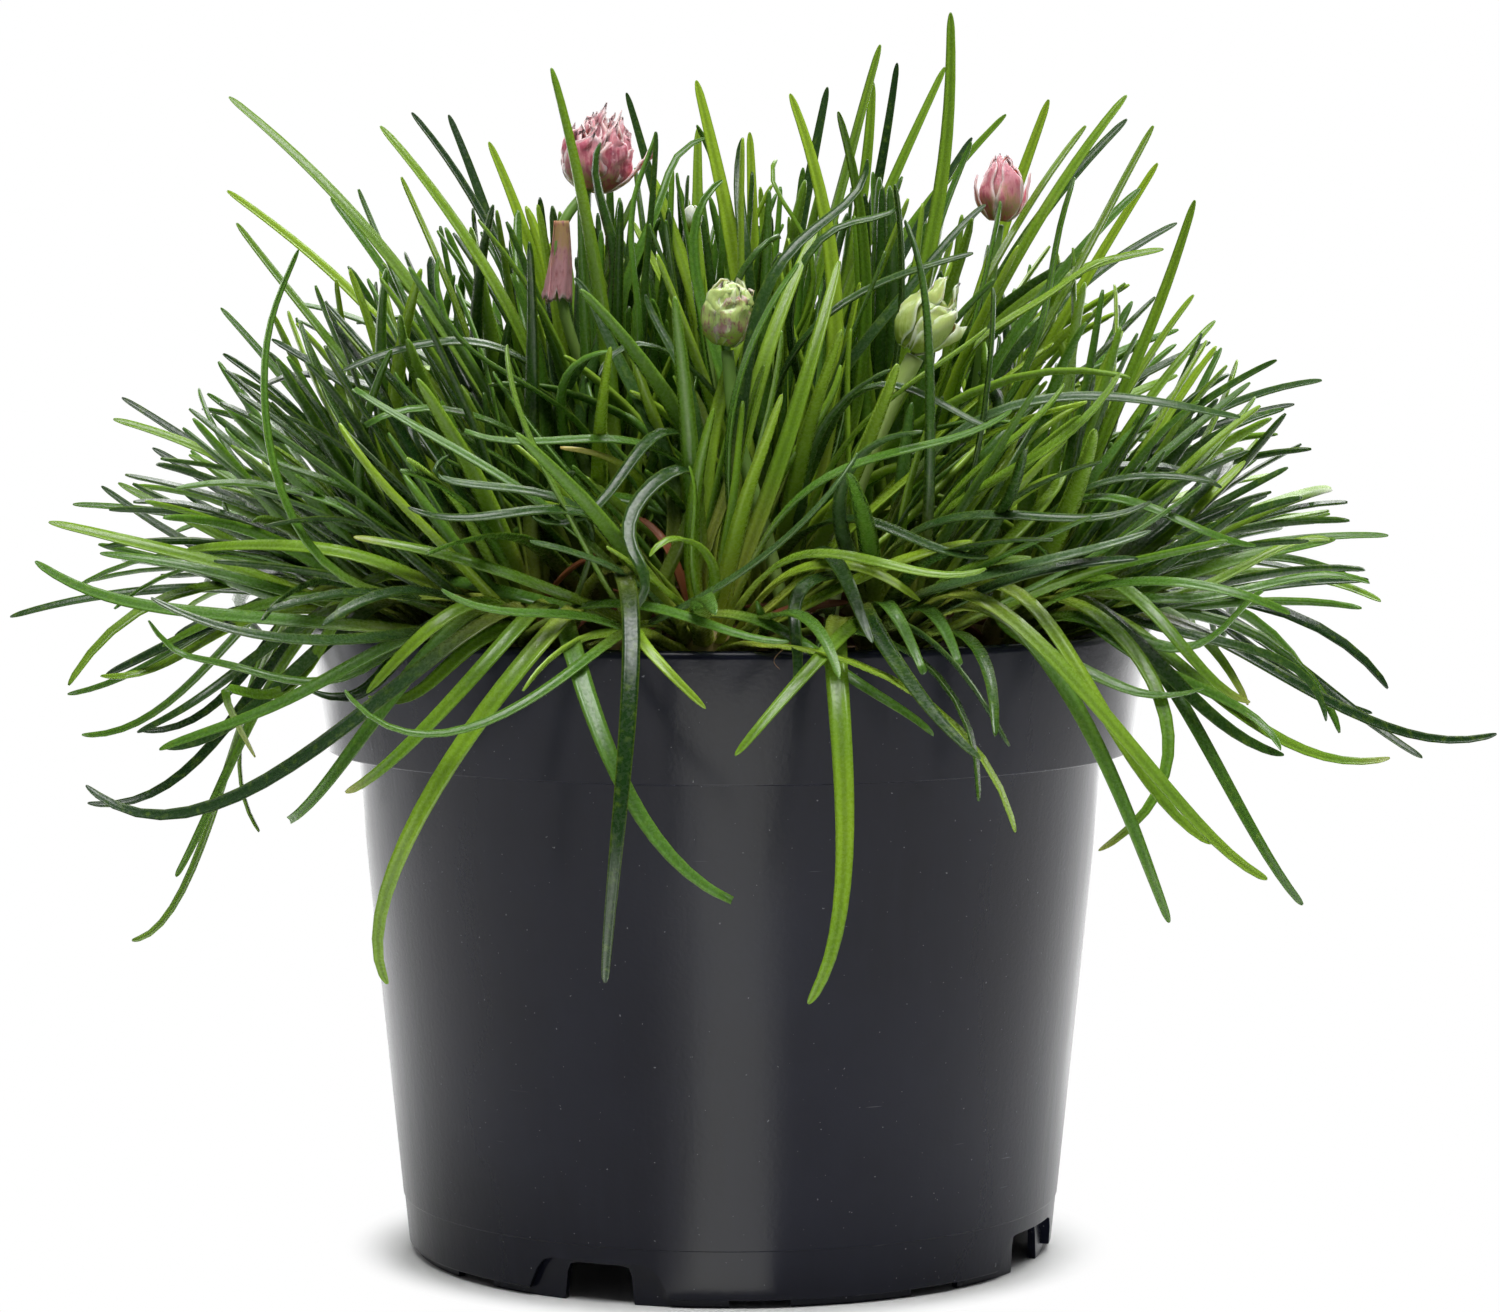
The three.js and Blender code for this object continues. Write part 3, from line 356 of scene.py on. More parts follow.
# Finer leaves that lie over the front of the cushion, given in the same way, each with its tone
FRONT_LEAVES = {
    "leaves_outer_1": [
        [2.4, [1, -52, 122], [1.5, -54, 137.5], [6, -52, 148.5], [12, -47, 156], [20, -42, 166.5], "dull"],
        [2.5, [-8, -45, 119], [-13, -42, 132], [-17, -40, 139.5], [-20, -38, 146],
         [-22.5, -37, 149.5], "dull"],
        [2.1, [-4.5, -49, 120], [-5.5, -50, 133.5], [-8.5, -48, 140], [-11.5, -46, 145],
         [-12, -45, 147], "dull"],
        [2.1, [-4, -58, 102], [7.5, -66, 100], [14, -71, 96], [21, -73, 91.5], [28.5, -74, 86], "olive"],
        [2.6, [-4.5, -51, 114], [-5.5, -54, 122], [-10.5, -61, 116.5], [-13.5, -67, 108.5],
         [-14.5, -68, 101.5], "dull"],
        [1.8, [-6, -49, 104], [-9.9, -48, 112.4], [-13, -46, 115], "russet"],
        [2.1, [-12.5, -55, 99.5], [-19, -62, 110], [-25.5, -66, 123], [-31, -62, 140], "pale"],
        [2.1, [-12.5, -56, 105], [-23.5, -62, 115.5], [-39, -64, 126], [-53, -60, 134], "cut"],
        [2, [-18, -58, 111.5], [-30.5, -66, 118.5], [-39.5, -67, 121], [-39, -64, 124.5], "grey"],
        [2.2, [-10.5, -56, 105], [-23.5, -66, 114], [-34.5, -70, 118], [-44.5, -70, 117.5], "dull"],
        [2.2, [-11, -58, 98], [-22, -68, 102.5], [-31.5, -74, 103.5], [-39.5, -76, 106.5], "olive"],
        [2, [-10.5, -58, 103], [-18.5, -68, 109.5], [-27.5, -72, 113], "grey"],
        [1.9, [-2.5, -56, 103.5], [-3, -62, 110.5], [-6, -65, 113], [-11, -68, 110.5], "bright"],
        [2.1, [1.5, -58, 103.5], [8, -66, 110], [19.5, -74, 110.5], [35.5, -78, 109.5], "bright"],
        [2.1, [3, -58, 109.5], [13, -64, 121], [26.5, -68, 126], [39.5, -68, 131], "olive"],
        [2.2, [4, -56, 98], [5.5, -62, 101.5], [4, -63, 104], "olive"],
        [1.7, [-10.5, -57, 100.5], [-19, -70, 97], [-37.5, -78, 87], [-53, -74, 92.5], "olive"],
        [1.1, [-3, -54, 100.5], [-5.5, -58, 109.5], [-5, -60, 118], [-5.5, -60, 123], "bright"],
        [2.1, [0, -54, 115], [1, -57, 133.5], [5, -56, 144], [10, -52, 151.5], "olive"],
    ],
    "leaves_outer_2": [
        [2.5, [17, -58, 98], [7.5, -64, 99.5], [-4, -68, 104.5], [-15.5, -68, 111], "pale"],
        [2.4, [19, -50, 107], [14.5, -58, 107.5], [10, -65, 105.5], [9.5, -70, 99], [9, -71, 92.5], "dull"],
        [1.6, [28, -52, 109], [28.5, -58, 129.5], [28, -57, 145], [25, -52, 157.5], "dull"],
        [1.8, [32.5, -48, 114.5], [36.5, -52, 132], [37.5, -50, 148], "dull"],
        [2.1, [17.5, -52, 109], [18, -62, 122.5], [22, -66, 127], [27, -68, 128], "grey"],
        [2.9, [25.5, -46, 111], [38, -54, 120.5], [48.5, -58, 128], [55.5, -56, 136], "bright"],
        [1.9, [25.5, -48, 109], [34, -54, 121], [40.5, -57, 127], [47.5, -55, 134.5], "bright"],
        [2.2, [25.5, -46, 117.5], [38.5, -52, 129], [54, -54, 132], [73, -52, 129.5], "grey"],
        [2.2, [21.5, -52, 109], [31.5, -60, 115.5], [44.5, -64, 116], [59.5, -62, 118], "dull"],
        [2.5, [25.5, -58, 104], [38, -66, 108.5], [49, -66, 111], [59.5, -62, 114], "grey"],
    ],
    "leaves_outer_3": [
        [2.5, [41.5, -36.5, 102], [40.5, -50, 97.5], [46, -56, 94.5], [54, -58, 91.5],
         [67.5, -58, 91.5], "olive"],
        [2.4, [48.5, -38, 104], [54.5, -46, 105], [64, -52, 99], [74.5, -54, 89], "brown"],
        [2.7, [47, -40, 99], [56.5, -46, 97.5], [66.5, -48, 97], [73.5, -48, 100.5],
         [77, -46, 104.5], "olive"],
        [2.1, [55, -30, 101.5], [64, -34, 102.5], [75, -34, 107], [88.5, -32, 111], "bright"],
        [2.2, [54.5, -34, 99.5], [64.5, -38, 99], [76, -38, 102], [93.5, -36, 105], "olive"],
        [2.2, [54, -42, 97], [62.5, -50, 91.5], [69, -52, 87.5], [79, -52, 82], "olive"],
        [2.1, [57.5, -36, 99], [67.5, -42, 97.5], [75, -42, 94], [87, -40, 85], "dull"],
        [2.2, [44, -36, 110.5], [51.5, -42, 119], [61, -44, 121], [70, -44, 120], "dull"],
        [2, [42.5, -34, 110.5], [50, -42, 117], [62.5, -48, 115.5], [76, -48, 111], "olive"],
        [2.5, [48, -46, 103], [55.5, -56, 106], [66.5, -60, 105.5], [79.5, -60, 102], "olive"],
    ],
    "leaves_outer_10": [
        [2.1, [-59, -30, 97.5], [-69, -32, 93.5], [-76.5, -32, 89], [-87.5, -30, 82.5], "dull"],
        [2.1, [-59.5, -24, 97.5], [-73, -26, 94.5], [-83, -26, 92.5], [-93.5, -24, 90.5], "bright"],
        [2.4, [-56, -28, 95], [-71, -31, 95.5], [-84, -31, 96.5], [-92, -29, 99.5], "olive"],
        [2.6, [-45.5, -22, 106], [-53.5, -30, 117], [-62.5, -36, 126], [-71.5, -38, 133], "dull"],
        [2.5, [-45, -26, 104], [-52, -36, 117], [-62, -42, 121.5], [-72.5, -44, 128], "olive"],
    ],
    "leaves_outer_11": [
        [1.7, [-37.5, -46, 98.5], [-50, -52, 94], [-61, -54, 92.5], [-70, -54, 92.5], [-77, -52, 95.5],
         [-83, -50, 100.5], "olive"],
        [2.5, [-35.5, -50, 99.5], [-46.5, -56, 98], [-56.5, -59, 93], [-67.5, -60, 87.5],
         [-81, -58, 82.5], "olive"],
        [2.5, [-42.5, -39, 100], [-56.5, -40, 94.5], [-64, -45, 90.5], [-68, -47, 86.5],
         [-68.5, -47, 80], "brown"],
        [2.4, [-30.5, -49, 98], [-32.5, -60, 90], [-40.5, -62, 84.5], [-50, -62, 78.5], "dull"],
        [2.6, [-30, -54, 98], [-39, -58, 93.5], [-43.5, -60, 91.5], [-51, -60, 90.5], "bright"],
        [3, [-30, -48, 100.5], [-41.5, -53, 95], [-49.5, -55, 91.5], [-60, -55, 91], "dull"],
        [2.2, [-24, -56, 103.5], [-12.5, -64, 102], [-1, -69, 100.5], [8.5, -71, 99], "olive"],
        [1.8, [-27, -42, 103], [-22.9, -45, 107.6], [-19, -46, 110], "russet"],
        [1.7, [-41.5, -52, 103.5], [-57, -60, 109.5], [-64.5, -60, 125], [-65.5, -52, 140.5],
         [-62, -42, 153.5], "olive"],
        [2.1, [-15.5, -54, 96], [-1, -66, 104.5], [10, -70, 117], [18, -68, 125], "grey"],
        [2.5, [-37, -52, 97.5], [-49, -64, 97], [-64, -70, 99], [-80.5, -68, 105], "dull"],
    ],
    "leaves_inner_1": [
        [2.5, [4.5, -25, 120], [3.5, -24.5, 137], [2.5, -24, 151.5], [1.5, -20, 161],
         [2, -16, 170.5], "dull"],
        [2.1, [7, -28.5, 120], [9, -31, 137], [10.5, -34, 151.5], [17, -32, 156], [21, -30, 159],
         [25, -28, 160], "dull"],
        [2.5, [13, -30.5, 115], [21, -35, 127.5], [28.5, -40, 137.5], [32.5, -37, 145.5],
         [37, -35, 153], "pale"],
        [2.1, [2.5, -25.5, 119], [-0.5, -26, 135], [-3.5, -26, 148.5], [-4, -22, 156.5],
         [-1, -18, 164], "olive"],
        [1.7, [3.5, -30.5, 119], [2, -35, 135], [0, -40, 148.5], [4, -38, 152.5], [7.5, -36, 155], "dull"],
        [2.3, [12, -26, 125], [20, -25, 140], [30.1, -22, 152], [34.6, -20, 157.1],
         [38.3, -18.5, 160.4], "dull"],
        [2.2, [2.5, -38, 108.5], [-5.5, -50, 121], [-15.5, -60, 120], [-27.5, -66, 116], "dull"],
        [2.2, [-0.5, -38, 114], [-11.5, -48, 125.5], [-24, -56, 126.5], [-37.5, -60, 128], "cut"],
        [2.2, [5, -34, 103.5], [6.5, -42, 114.5], [11, -48, 124.5], [16, -50, 137], "bright"],
        [1.9, [11, -40, 114.5], [19, -48, 128.5], [27, -54, 135.5], [36.5, -56, 142.5], "bright"],
        [2.7, [10.5, -40, 117], [15.5, -48, 131], [19, -50, 134.5], [23, -52, 136.5], "grey"],
        [1.8, [3.5, -34, 114], [-1, -44, 131], [-10, -50, 136.5], [-18.5, -54, 135.5], "dull"],
        [2.5, [9, -42, 111], [17.5, -56, 115.5], [27, -68, 112.5], [36, -74, 111], "dull"],
        [2.8, [8, -44, 107.5], [12.5, -56, 108.5], [16.5, -68, 104], [20, -76, 99], "dull"],
        [2.2, [6, -30, 128.5], [13.5, -36, 143.5], [23.5, -38, 149.5], [35.5, -38, 153], "dull"],
        [2, [10.5, -42, 126], [14, -47, 140], [19, -50, 140], [24, -52, 139], "grey"],
        [1.9, [10, -33.5, 116], [14.5, -42, 126], [20, -49, 133.5], [28, -54, 132.5],
         [37, -58, 128.5], "dull"],
    ],
    "leaves_inner_6": [
        [2.4, [-17.5, -21.5, 116], [-15.5, -25, 129.5], [-13.5, -29, 140.5], [-14.5, -30, 153.5],
         [-14, -28, 161.5], [-11, -25, 171], "olive"],
        [2.1, [-17.5, -18.5, 120], [-16, -19, 137.5], [-14, -20, 152], [-12, -18, 158],
         [-9.5, -16, 163.5], [-3.5, -12, 170.5], "olive"],
        [2.2, [-17.5, -24, 118], [-19.5, -26, 135], [-21.5, -26.5, 150], [-21, -25.5, 160],
         [-18.9, -24.5, 169.4], "dull"],
        [2.6, [-18.5, -26, 110.5], [-21, -36, 127.5], [-31.5, -43, 135.5], [-41.5, -44, 152.5], "olive"],
        [1.9, [-21, -26, 107.5], [-24, -36, 126], [-23.5, -42, 136], [-17, -44, 139], "olive"],
        [2.2, [-20.5, -28, 113.5], [-29, -40, 126], [-40, -46, 129.5], [-52.5, -48, 128], "cut"],
        [2.7, [-19, -26, 104.5], [-27.5, -38, 118.5], [-37.5, -44, 127.5], [-48, -46, 136], "olive"],
        [1.8, [-17.5, -34, 111], [-13, -46, 120.5], [-16.5, -50, 123.5], [-24, -53, 125.5], "yellow"],
    ],
    "leaves_inner_2": [
        [2.5, [30, -9.5, 120.5], [35, -10.5, 138.5], [40.5, -12, 153.5], [47, -10, 162.5],
         [53.5, -8, 172], "olive"],
        [2.5, [29, -11.5, 120], [33.5, -14.5, 137.5], [38, -18, 152], [43.5, -16, 158],
         [49.5, -14, 164], [58.5, -12, 172.5], "bright"],
        [2.2, [26.5, -10, 119.5], [28, -12, 136.5], [29.5, -14, 150.5], [32.5, -12, 160.5],
         [36.5, -10, 170], "olive"],
        [2.3, [31, -13.5, 114], [37, -18.5, 125.5], [43, -24, 134.5], [47, -22, 146], [49, -20, 156],
         [51.5, -18, 164.5], "olive"],
        [2.7, [29, -14, 116.5], [33.5, -20, 130], [38, -26, 141], [43, -27, 144.5], [49, -27, 148.5],
         [57, -26, 152.5], "bright"],
        [2.3, [30, -15, 120], [34, -19, 135], [38, -19.5, 150], [39.1, -19, 154.5],
         [40.4, -18, 161], "olive"],
    ],
    "leaves_middle_1": [
        [2.2, [-1.5, -3.5, 121], [-3, -6.5, 139.5], [-4.5, -10, 155], [-5.5, -10, 162.5],
         [-5, -8, 172.5], "olive"],
        [2, [3.5, -3.5, 120.5], [7.5, -6.5, 138], [11, -10, 153], [10, -10, 159], [7, -8, 167.5], "bright"],
    ],
}

# A leaf's cross-section, from its left margin round under its keel and back over its channel: the place
# across in half widths, and the height in thicknesses
SECTION = np.array(
    [[-1, 0.06], [-0.56, -0.66], [0, -1], [0.56, -0.66], [1, 0.06], [0.52, -0.12], [0, -0.26], [-0.52, -0.12]]
)
PLAIN_SECTION = SECTION[[0, 1, 2, 3, 4, 6]]
LEAF_THICKNESS = 0.8
HALF_WIDTH = 0.55

# Where a leaf is narrower or wider, as shares of its length, with how much and how suddenly
ROOT_WIDTH = 0.76
ROOT_LENGTH = 0.3
SHEATHING = {"length": 0.16, "width": 0.5, "power": 1.5}
TAPER = {"start": 0.35, "loss": 0.6, "power": 1.7}
PLAIN_ROOT_WIDTH = 0.72
PLAIN_ROOT_LENGTH = 0.35
PLAIN_TAPER = {"start": 0.6, "loss": 0.6, "power": 2.5}
TIP = {"widths": 1.25, "longest": 0.12, "power": 2.3, "overlap": 0.9}
CUT_SHARES = [0.96, 0.995]
THINNING = (1.1, 0.35)
TIP_THICKNESS = 0.35
DEAD_THICKNESS = 0.55
RIPPLE = 0.05
RIPPLE_TURNS = (9, 7)

# Where a leaf's faces lie in the texture layout, as shares of its column and row
STRIP = {"left": 0.02, "length": 0.48, "foot": 0.05, "height": 0.9}
CROWN_STRIP = (60, 12)

# How fresh, how dry and how grey with bloom the leaves are that have a tone of their own
KIND_TONES = {
    "dead": (0.2, 1.0, 0.0),
    "yellow": (1.0, 0.33, 0.0),
    "russet": (0.2, 0.92, 0.0),
    "brown": (0.62, 0.22, 0.0),
    "cut": (0.42, 0.1, 0.1),
    "bright": (0.68, 0.03, 0.0),
    "olive": (0.45, 0.0, 0.05),
    "pale": (0.66, 0.0, 0.2),
    "grey": (0.2, 0.0, 0.22),
    "dull": (0.16, 0.0, 0.06),
}

# How fresh a leaf is at least, how much fresher an upright one is, and the middle of the draws;
# then the greatest shares that are dry and that have bloom
LEAST_FRESH = 0.13
UPRIGHT_FRESH = 0.26
MIDDLE_DRAW = 0.45
MOST_DRY = 0.16
MOST_BLOOM = 0.16

# The extra leaves of a tuft: how they stray from its own way, in radians, their share of its leaves' length,
# and how they bend and turn. Pairs are a least value and what may be added to it.
EXTRA_TRIES = 30
EXTRA_SPREAD = 1.25
EXTRA_FIRST_TURN = 1
LEAN_SCATTER = 1.1
BEARING_SCATTER = 1.3
MOST_EXTRA_LEAN = 1.5
EXTRA_LENGTHS = (0.55, 0.5)
EXTRA_DROOPS = (-0.35, 2.1)
LEAST_BEND_LEAN = 0.65
EXTRA_SWING = 3.4
EXTRA_WIDTHS = (2.2, 0.8)
EXTRA_TURN = 2.0
FORWARD_SHARE = 0.6
FORWARD_DROPPED = 0.8

# The dead leaves of each crown, in the same way
DEAD_COUNT = 5
DEAD_TURN = 1.3
DEAD_LEANS = (0.9, 0.5)
DEAD_START = 95.5
DEAD_MIDDLES = (8, 7)
DEAD_ENDS = (5, 8)
DEAD_DROOP = 0.3
DEAD_CLEARANCE = 1.5
DEAD_REACH = 60.0
DEAD_WIDTHS = (1.4, 1)
DEAD_MOST_TURN = 3

# How much further over the extra leaves lean
EXTRA_LEAN = {"leaves_outer": 0.14, "leaves_inner": 0.04, "leaves_middle": 0.0}

# How strongly the extra leaves of each ring of tufts bend over
EXTRA_BEND = {"leaves_outer": 0.85, "leaves_inner": 1.25, "leaves_middle": 1.4}

# Tufts with fewer extra leaves, and their share
THINNER = {"leaves_outer_4": 0.8, "leaves_inner_3": 0.65}

# Tufts whose leaves are fresher than the others, and by how much
FRESHER = {"leaves_outer_1": 0.3, "leaves_inner_1": 0.22, "leaves_outer_2": 0.08, "leaves_inner_2": 0.08}

# Leaves of a plainer make
PLAIN_KINDS = ("extra", "filling", "dead")

# The shares of its length where a leaf has a ring of corners
FINE_SHARES = np.array([0, 0.06, 0.13, 0.22, 0.31, 0.4, 0.49, 0.58, 0.67, 0.76, 0.84, 0.91])
CLOSE_SHARES = np.concatenate([[0, 0.04, 0.08], np.linspace(0.13, 0.94, 20)])
# How far along its tip the rings of a rounded tip lie
TIP_ROUNDING = np.array([0.35, 0.62, 0.82, 0.93, 0.985])
PLAIN_ROUNDING = np.array([0.45, 0.8, 0.97])

# Flower stalks and heads: the route is the stalk's points from the compost up, core is the head's
# half width and half height, and radius is the stalk's.
FLOWERS = {
    "open_bud": {
        "radius": 0.9,
        "route": [
            [-11, -7, 84],
            [-11.2, -7.2, 95],
            [-17, -13, 121],
            [-25, -19, 146],
            [-25, -19, 157],
            [-21, -17, 163],
        ],
        "core": (5.2, 5.0),
        "centre": (-20, -16, 167),
    },
    "pointed_bud": {
        "radius": 0.9,
        "route": [[35, -6, 84], [35, -6.1, 95], [36.2, -8, 121], [39, -11, 146], [40.6, -12, 157.5]],
        "core": (3.2, 4.2),
        "centre": (40.9, -12, 162),
    },
    "round_bud": {
        "radius": 1.1,
        "route": [[9, -44, 84], [8.9, -44, 95], [5.5, -45, 112], [1, -46, 128], [-0.2, -46, 139]],
        "core": (3.5, 4.6),
        "centre": (-0.2, -46, 144),
    },
    "pale_bud": {
        "radius": 1.6,
        "route": [[14, -36, 84], [14.1, -36, 95], [17, -37.5, 114], [23, -39, 130], [27, -40, 138]],
        "core": (4.1, 5.0),
        "centre": (28.3, -40, 143),
    },
    "young_bud": {
        "radius": 0.8,
        "route": [[2, -13, 84], [2, -13, 95], [-1.5, -12, 125], [-5, -10, 150], [-5.6, -10, 156]],
        "core": (1.5, 2.1),
        "centre": (-5.8, -10, 158.4),
    },
}
SHEATH = {"x": -25.0, "y": -19.0, "top": 158.0, "bottom": 146.5, "top_radius": 1.8, "bottom_radius": 2.4}
SHEATH_GRID = (21, 41)
SHEATH_WRAP = 6.6
SHEATH_TWIST = 0.9
SHEATH_THICKNESS = 0.14
STALK_STEPS = 7
STALK_SIDES = 12
STALK_THINNING = 0.15

# The bracts: the corners of each one's grid, the angle at which it leaves the head's foot, its thickness
# and the share of a head that its core fills. A head smaller than the least width has bracts half as thick.
BRACT_GRID = (15, 11)
BRACT_FOOT = -1.15
SMALL_HEAD = 2
BRACT_THICKNESS = 0.24
CORE_SHARES = (0.8, 0.8, 0.86)
CORE_TONE = {"along": 0.3, "edge": 0.2, "tint": 0.3}
HUGGING = dict(width=0.75, close=1.25, blunt=1.0, layer=1.0, open=0.0, rise=0.0)
HUGGING |= dict(cup=0.05, crumple=0.25, crumple_scale=0.35, ragged=0.3)

# Each head's finish, its lean in degrees with the bearing it leans to in radians, and its whorls of bracts:
# how many, the bearing of the first in radians, how flushed they are and how they differ from hugging ones
HEADS = {
    "open_bud": {
        "slot": "pink_bract",
        "lean": (10, 0.3),
        "whorls": [
            (6, 0.2, 0.6, dict(layer=0.98, close=0.62, width=0.8, crumple=1.1, crumple_scale=0.4,
                           ragged=1.4, open=0.08)),
            (8, 0.6, 0.3, dict(layer=0.88, close=0.75, width=0.5, crumple=1.5, crumple_scale=0.55,
                           ragged=2.0, open=0.1, rise=0.25)),
            (7, 0.1, 0.15, dict(layer=0.7, close=0.85, width=0.55, crumple=1.7, crumple_scale=0.6,
                           ragged=2.0, rise=0.5)),
            (5, 0.9, 0.0, dict(layer=0.45, close=0.9, width=0.8, crumple=1.6, crumple_scale=0.7,
                           ragged=1.8, rise=0.6)),
            (1, 0.05, 0.7, dict(layer=1.02, close=0.35, width=0.42, crumple=1.0, ragged=1.2, open=0.7,
                           rise=0.3)),
        ],
    },
    "pointed_bud": {
        "slot": "pink_bract",
        "lean": (4, 0.3),
        "whorls": [
            (4, 0.5, 0.5, dict(layer=1.0, close=1.3, width=0.8, blunt=0.85, crumple=1.0, ragged=0.8,
                           rise=0.1)),
            (4, 1.2, 0.35, dict(layer=0.82, close=1.38, width=0.75, blunt=0.85, crumple=1.0, ragged=1.0,
                           rise=0.35)),
            (1, 0.25, 0.6, dict(layer=1.1, close=0.5, width=0.36, blunt=0.8, crumple=0.6, open=0.4,
                           rise=0.3)),
            (1, 3.3, 0.6, dict(layer=1.1, close=0.45, width=0.36, blunt=0.8, crumple=0.6, open=0.3,
                           rise=0.1)),
        ],
    },
    "round_bud": {
        "slot": "green_bract",
        "lean": (8, 0.2),
        "whorls": [
            (4, -1.2, 0.55, dict(layer=1.03, close=0.75, width=0.9, crumple=1.4, crumple_scale=0.5,
                           ragged=1.4)),
            (4, -0.5, 0.15, dict(layer=0.95, close=1.3, width=0.85, crumple=1.4, crumple_scale=0.55,
                           ragged=0.9)),
            (3, 0.4, 0.25, dict(layer=0.85, close=1.5, width=0.8, crumple=1.5, crumple_scale=0.6,
                           ragged=0.9, rise=0.12)),
            (1, 0.1, 0.2, dict(layer=1.08, close=0.6, width=0.3, crumple=0.5, open=0.35, rise=0.1)),
        ],
    },
    "pale_bud": {
        "slot": "pale_bract",
        "lean": (34, 0.1),
        "whorls": [
            (4, -2.6, 0.0, dict(layer=0.92, close=0.85, width=0.7, crumple=1.0, crumple_scale=0.45,
                           ragged=1.0, open=0.15)),
            (3, 2.0, 0.0, dict(layer=0.66, close=1.0, width=0.7, crumple=1.2, crumple_scale=0.5,
                           ragged=1.2, rise=0.6)),
            (1, -0.9, 0.05, dict(layer=1.0, close=0.7, width=0.6, crumple=0.8, open=0.6, cup=0.4)),
            (1, 0.3, 0.05, dict(layer=1.0, close=0.6, width=0.5, crumple=0.8, open=0.7, cup=0.4)),
        ],
    },
    "young_bud": {
        "slot": "white_bract",
        "lean": (3, 1.0),
        "whorls": [
            (3, 0.2, 0.1, dict(layer=1.0, close=1.35, width=0.95, crumple=0.25, ragged=0.2)),
        ],
    },
}

# Fine roots that have grown over the rim, each as the points that it passes
ROOTS = [
    [[5, -58, 93.5], [7, -61, 98], [9, -64.6, 97.8], [12, -65.9, 97], [13.5, -66.6, 95.5]],
    [[9, -58, 93.5], [10, -62, 98.1], [8, -65.3, 97.6], [6.5, -66.3, 96], [7.2, -66.5, 94.8]],
    [[12, -59, 93.5], [13, -62, 98.1], [15, -64.6, 97.8], [18, -64.2, 97.9]],
]
ROOT_STEPS = 8
ROOT_WANDER = 0.35
ROOT_RADIUS = 0.13
ROOT_THINNING = 0.6
ROOT_SIDES = 6

# The card that the pot mirrors: bearings from the front in degrees with the share of its glow there. Then the
# place where its edges meet, how far from there it begins and ends, and its height, in millimetres.
CARD_GLOW = ((-24, 0.0), (-10, 1.0), (10, 0.9), (16, 0.0))
CARD_START = -26.0
CARD_DISTANCES = (28, 320)
CARD_HEIGHT = 0.5

# The floor's corners, and its rings as shares of its radius
FLOOR_SIDES = 64
FLOOR_RINGS = (0.1, 0.5, 1)

# The lights, in metres: where each stands, what it aims at, its width and its height
PLANT_MIDDLE = (0, 0, 0.1)
KEY_LIGHT = ((0.05, -0.45, 1.25), PLANT_MIDDLE, 0.9, 0.7)
BACK_LIGHT = ((0.25, 0.75, 1.0), PLANT_MIDDLE, 0.9, 0.6)
SENSOR_WIDTH = 36


def linear(code):
    """A colour from its screen code, such as 2f3038, as Blender's linear values."""
    channels = [int(code[i : i + 2], 16) / 255 for i in (0, 2, 4)]
    bent = [c / 12.92 if c <= 0.04045 else ((c + 0.055) / 1.055) ** 2.4 for c in channels]
    return (*bent, 1.0)


def seeded_draws(seed):
    """A repeatable row of draws between 0 and 1."""
    state = seed

    def draw():
        nonlocal state
        state = (state * DRAW_FACTOR + DRAW_STEP) % DRAW_RANGE
        return state / DRAW_RANGE

    return draw


def between(limits, draw):
    """A drawn value between two limits."""
    least, greatest = limits
    return least + (greatest - least) * draw()


def drawn(pair, draw):
    """A least value with a drawn share of what may be added to it."""
    least, more = pair
    return least + more * draw()


def scattered(width, draw):
    """A drawn value to either side of nothing, in a range of that width."""
    return width * (draw() - 0.5)


def unit(vector):
    """The vector, or each vector of an array, at length 1."""
    return vector / np.linalg.norm(vector, axis=-1, keepdims=True)


def circle(sides):
    """The bearings of the corners of a ring, in radians."""
    return np.arange(sides) / sides * 2 * math.pi


class Shape:
    """The vertices, faces and named vertex values of one piece, gathered part by part."""

    def __init__(self, *value_names):
        self.vertices = []
        self.faces = []
        self.corners = []
        self.values = {name: [] for name in value_names}
        self.count = 0

    def add(self, vertices, faces, places=None, **values):
        """Adds a part. places are the texture places of its face corners, one for each in turn."""
        vertices = np.asarray(vertices, float)
        self.vertices.append(vertices)
        self.faces += [[index + self.count for index in face] for face in faces]
        if places is not None:
            self.corners.append(places)
        for name, gathered in self.values.items():
            gathered.append(np.broadcast_to(np.asarray(values.get(name, 0.0), float), len(vertices)))
        self.count += len(vertices)

    def mesh(self, name):
        """The mesh, in metres."""
        made = bpy.data.meshes.new(name)
        made.from_pydata((np.concatenate(self.vertices) * MM).tolist(), [], self.faces)
        for value_name, gathered in self.values.items():
            layer = made.attributes.new(value_name, "FLOAT", "POINT")
            layer.data.foreach_set("value", np.concatenate(gathered).astype(np.float32))
        if self.corners:
            layer = made.uv_layers.new(name="OFBake")
            layer.data.foreach_set("uv", np.concatenate(self.corners).astype(np.float32).ravel())
        made.validate()
        made.shade_smooth()
        return made


def fresh_object(name, data):
    """A new object in the scene, in place of an older one of its name."""
    old = bpy.data.objects.get(name)
    if old is not None:
        bpy.data.objects.remove(old)
    made = bpy.data.objects.new(name, data)
    bpy.context.scene.collection.objects.link(made)
    return made


def settle(name, mesh, finish, slot, *nodes):
    """Puts a piece in the scene on the resting body, in its finish, for the nodes that it stands for."""
    piece = fresh_object(name, mesh)
    mesh.materials.clear()
    mesh.materials.append(finish)
    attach(piece, "root")
    if nodes:
        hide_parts(*nodes)


def ring_faces(rings, corners):
    """Faces between rings of corners that lie one after another, as a closed tube without its ends."""
    faces = []
    for ring in range(rings - 1):
        for i in range(corners):
            a = ring * corners + i
            b = ring * corners + (i + 1) % corners
            faces.append([a, b, b + corners, a + corners])
    return faces


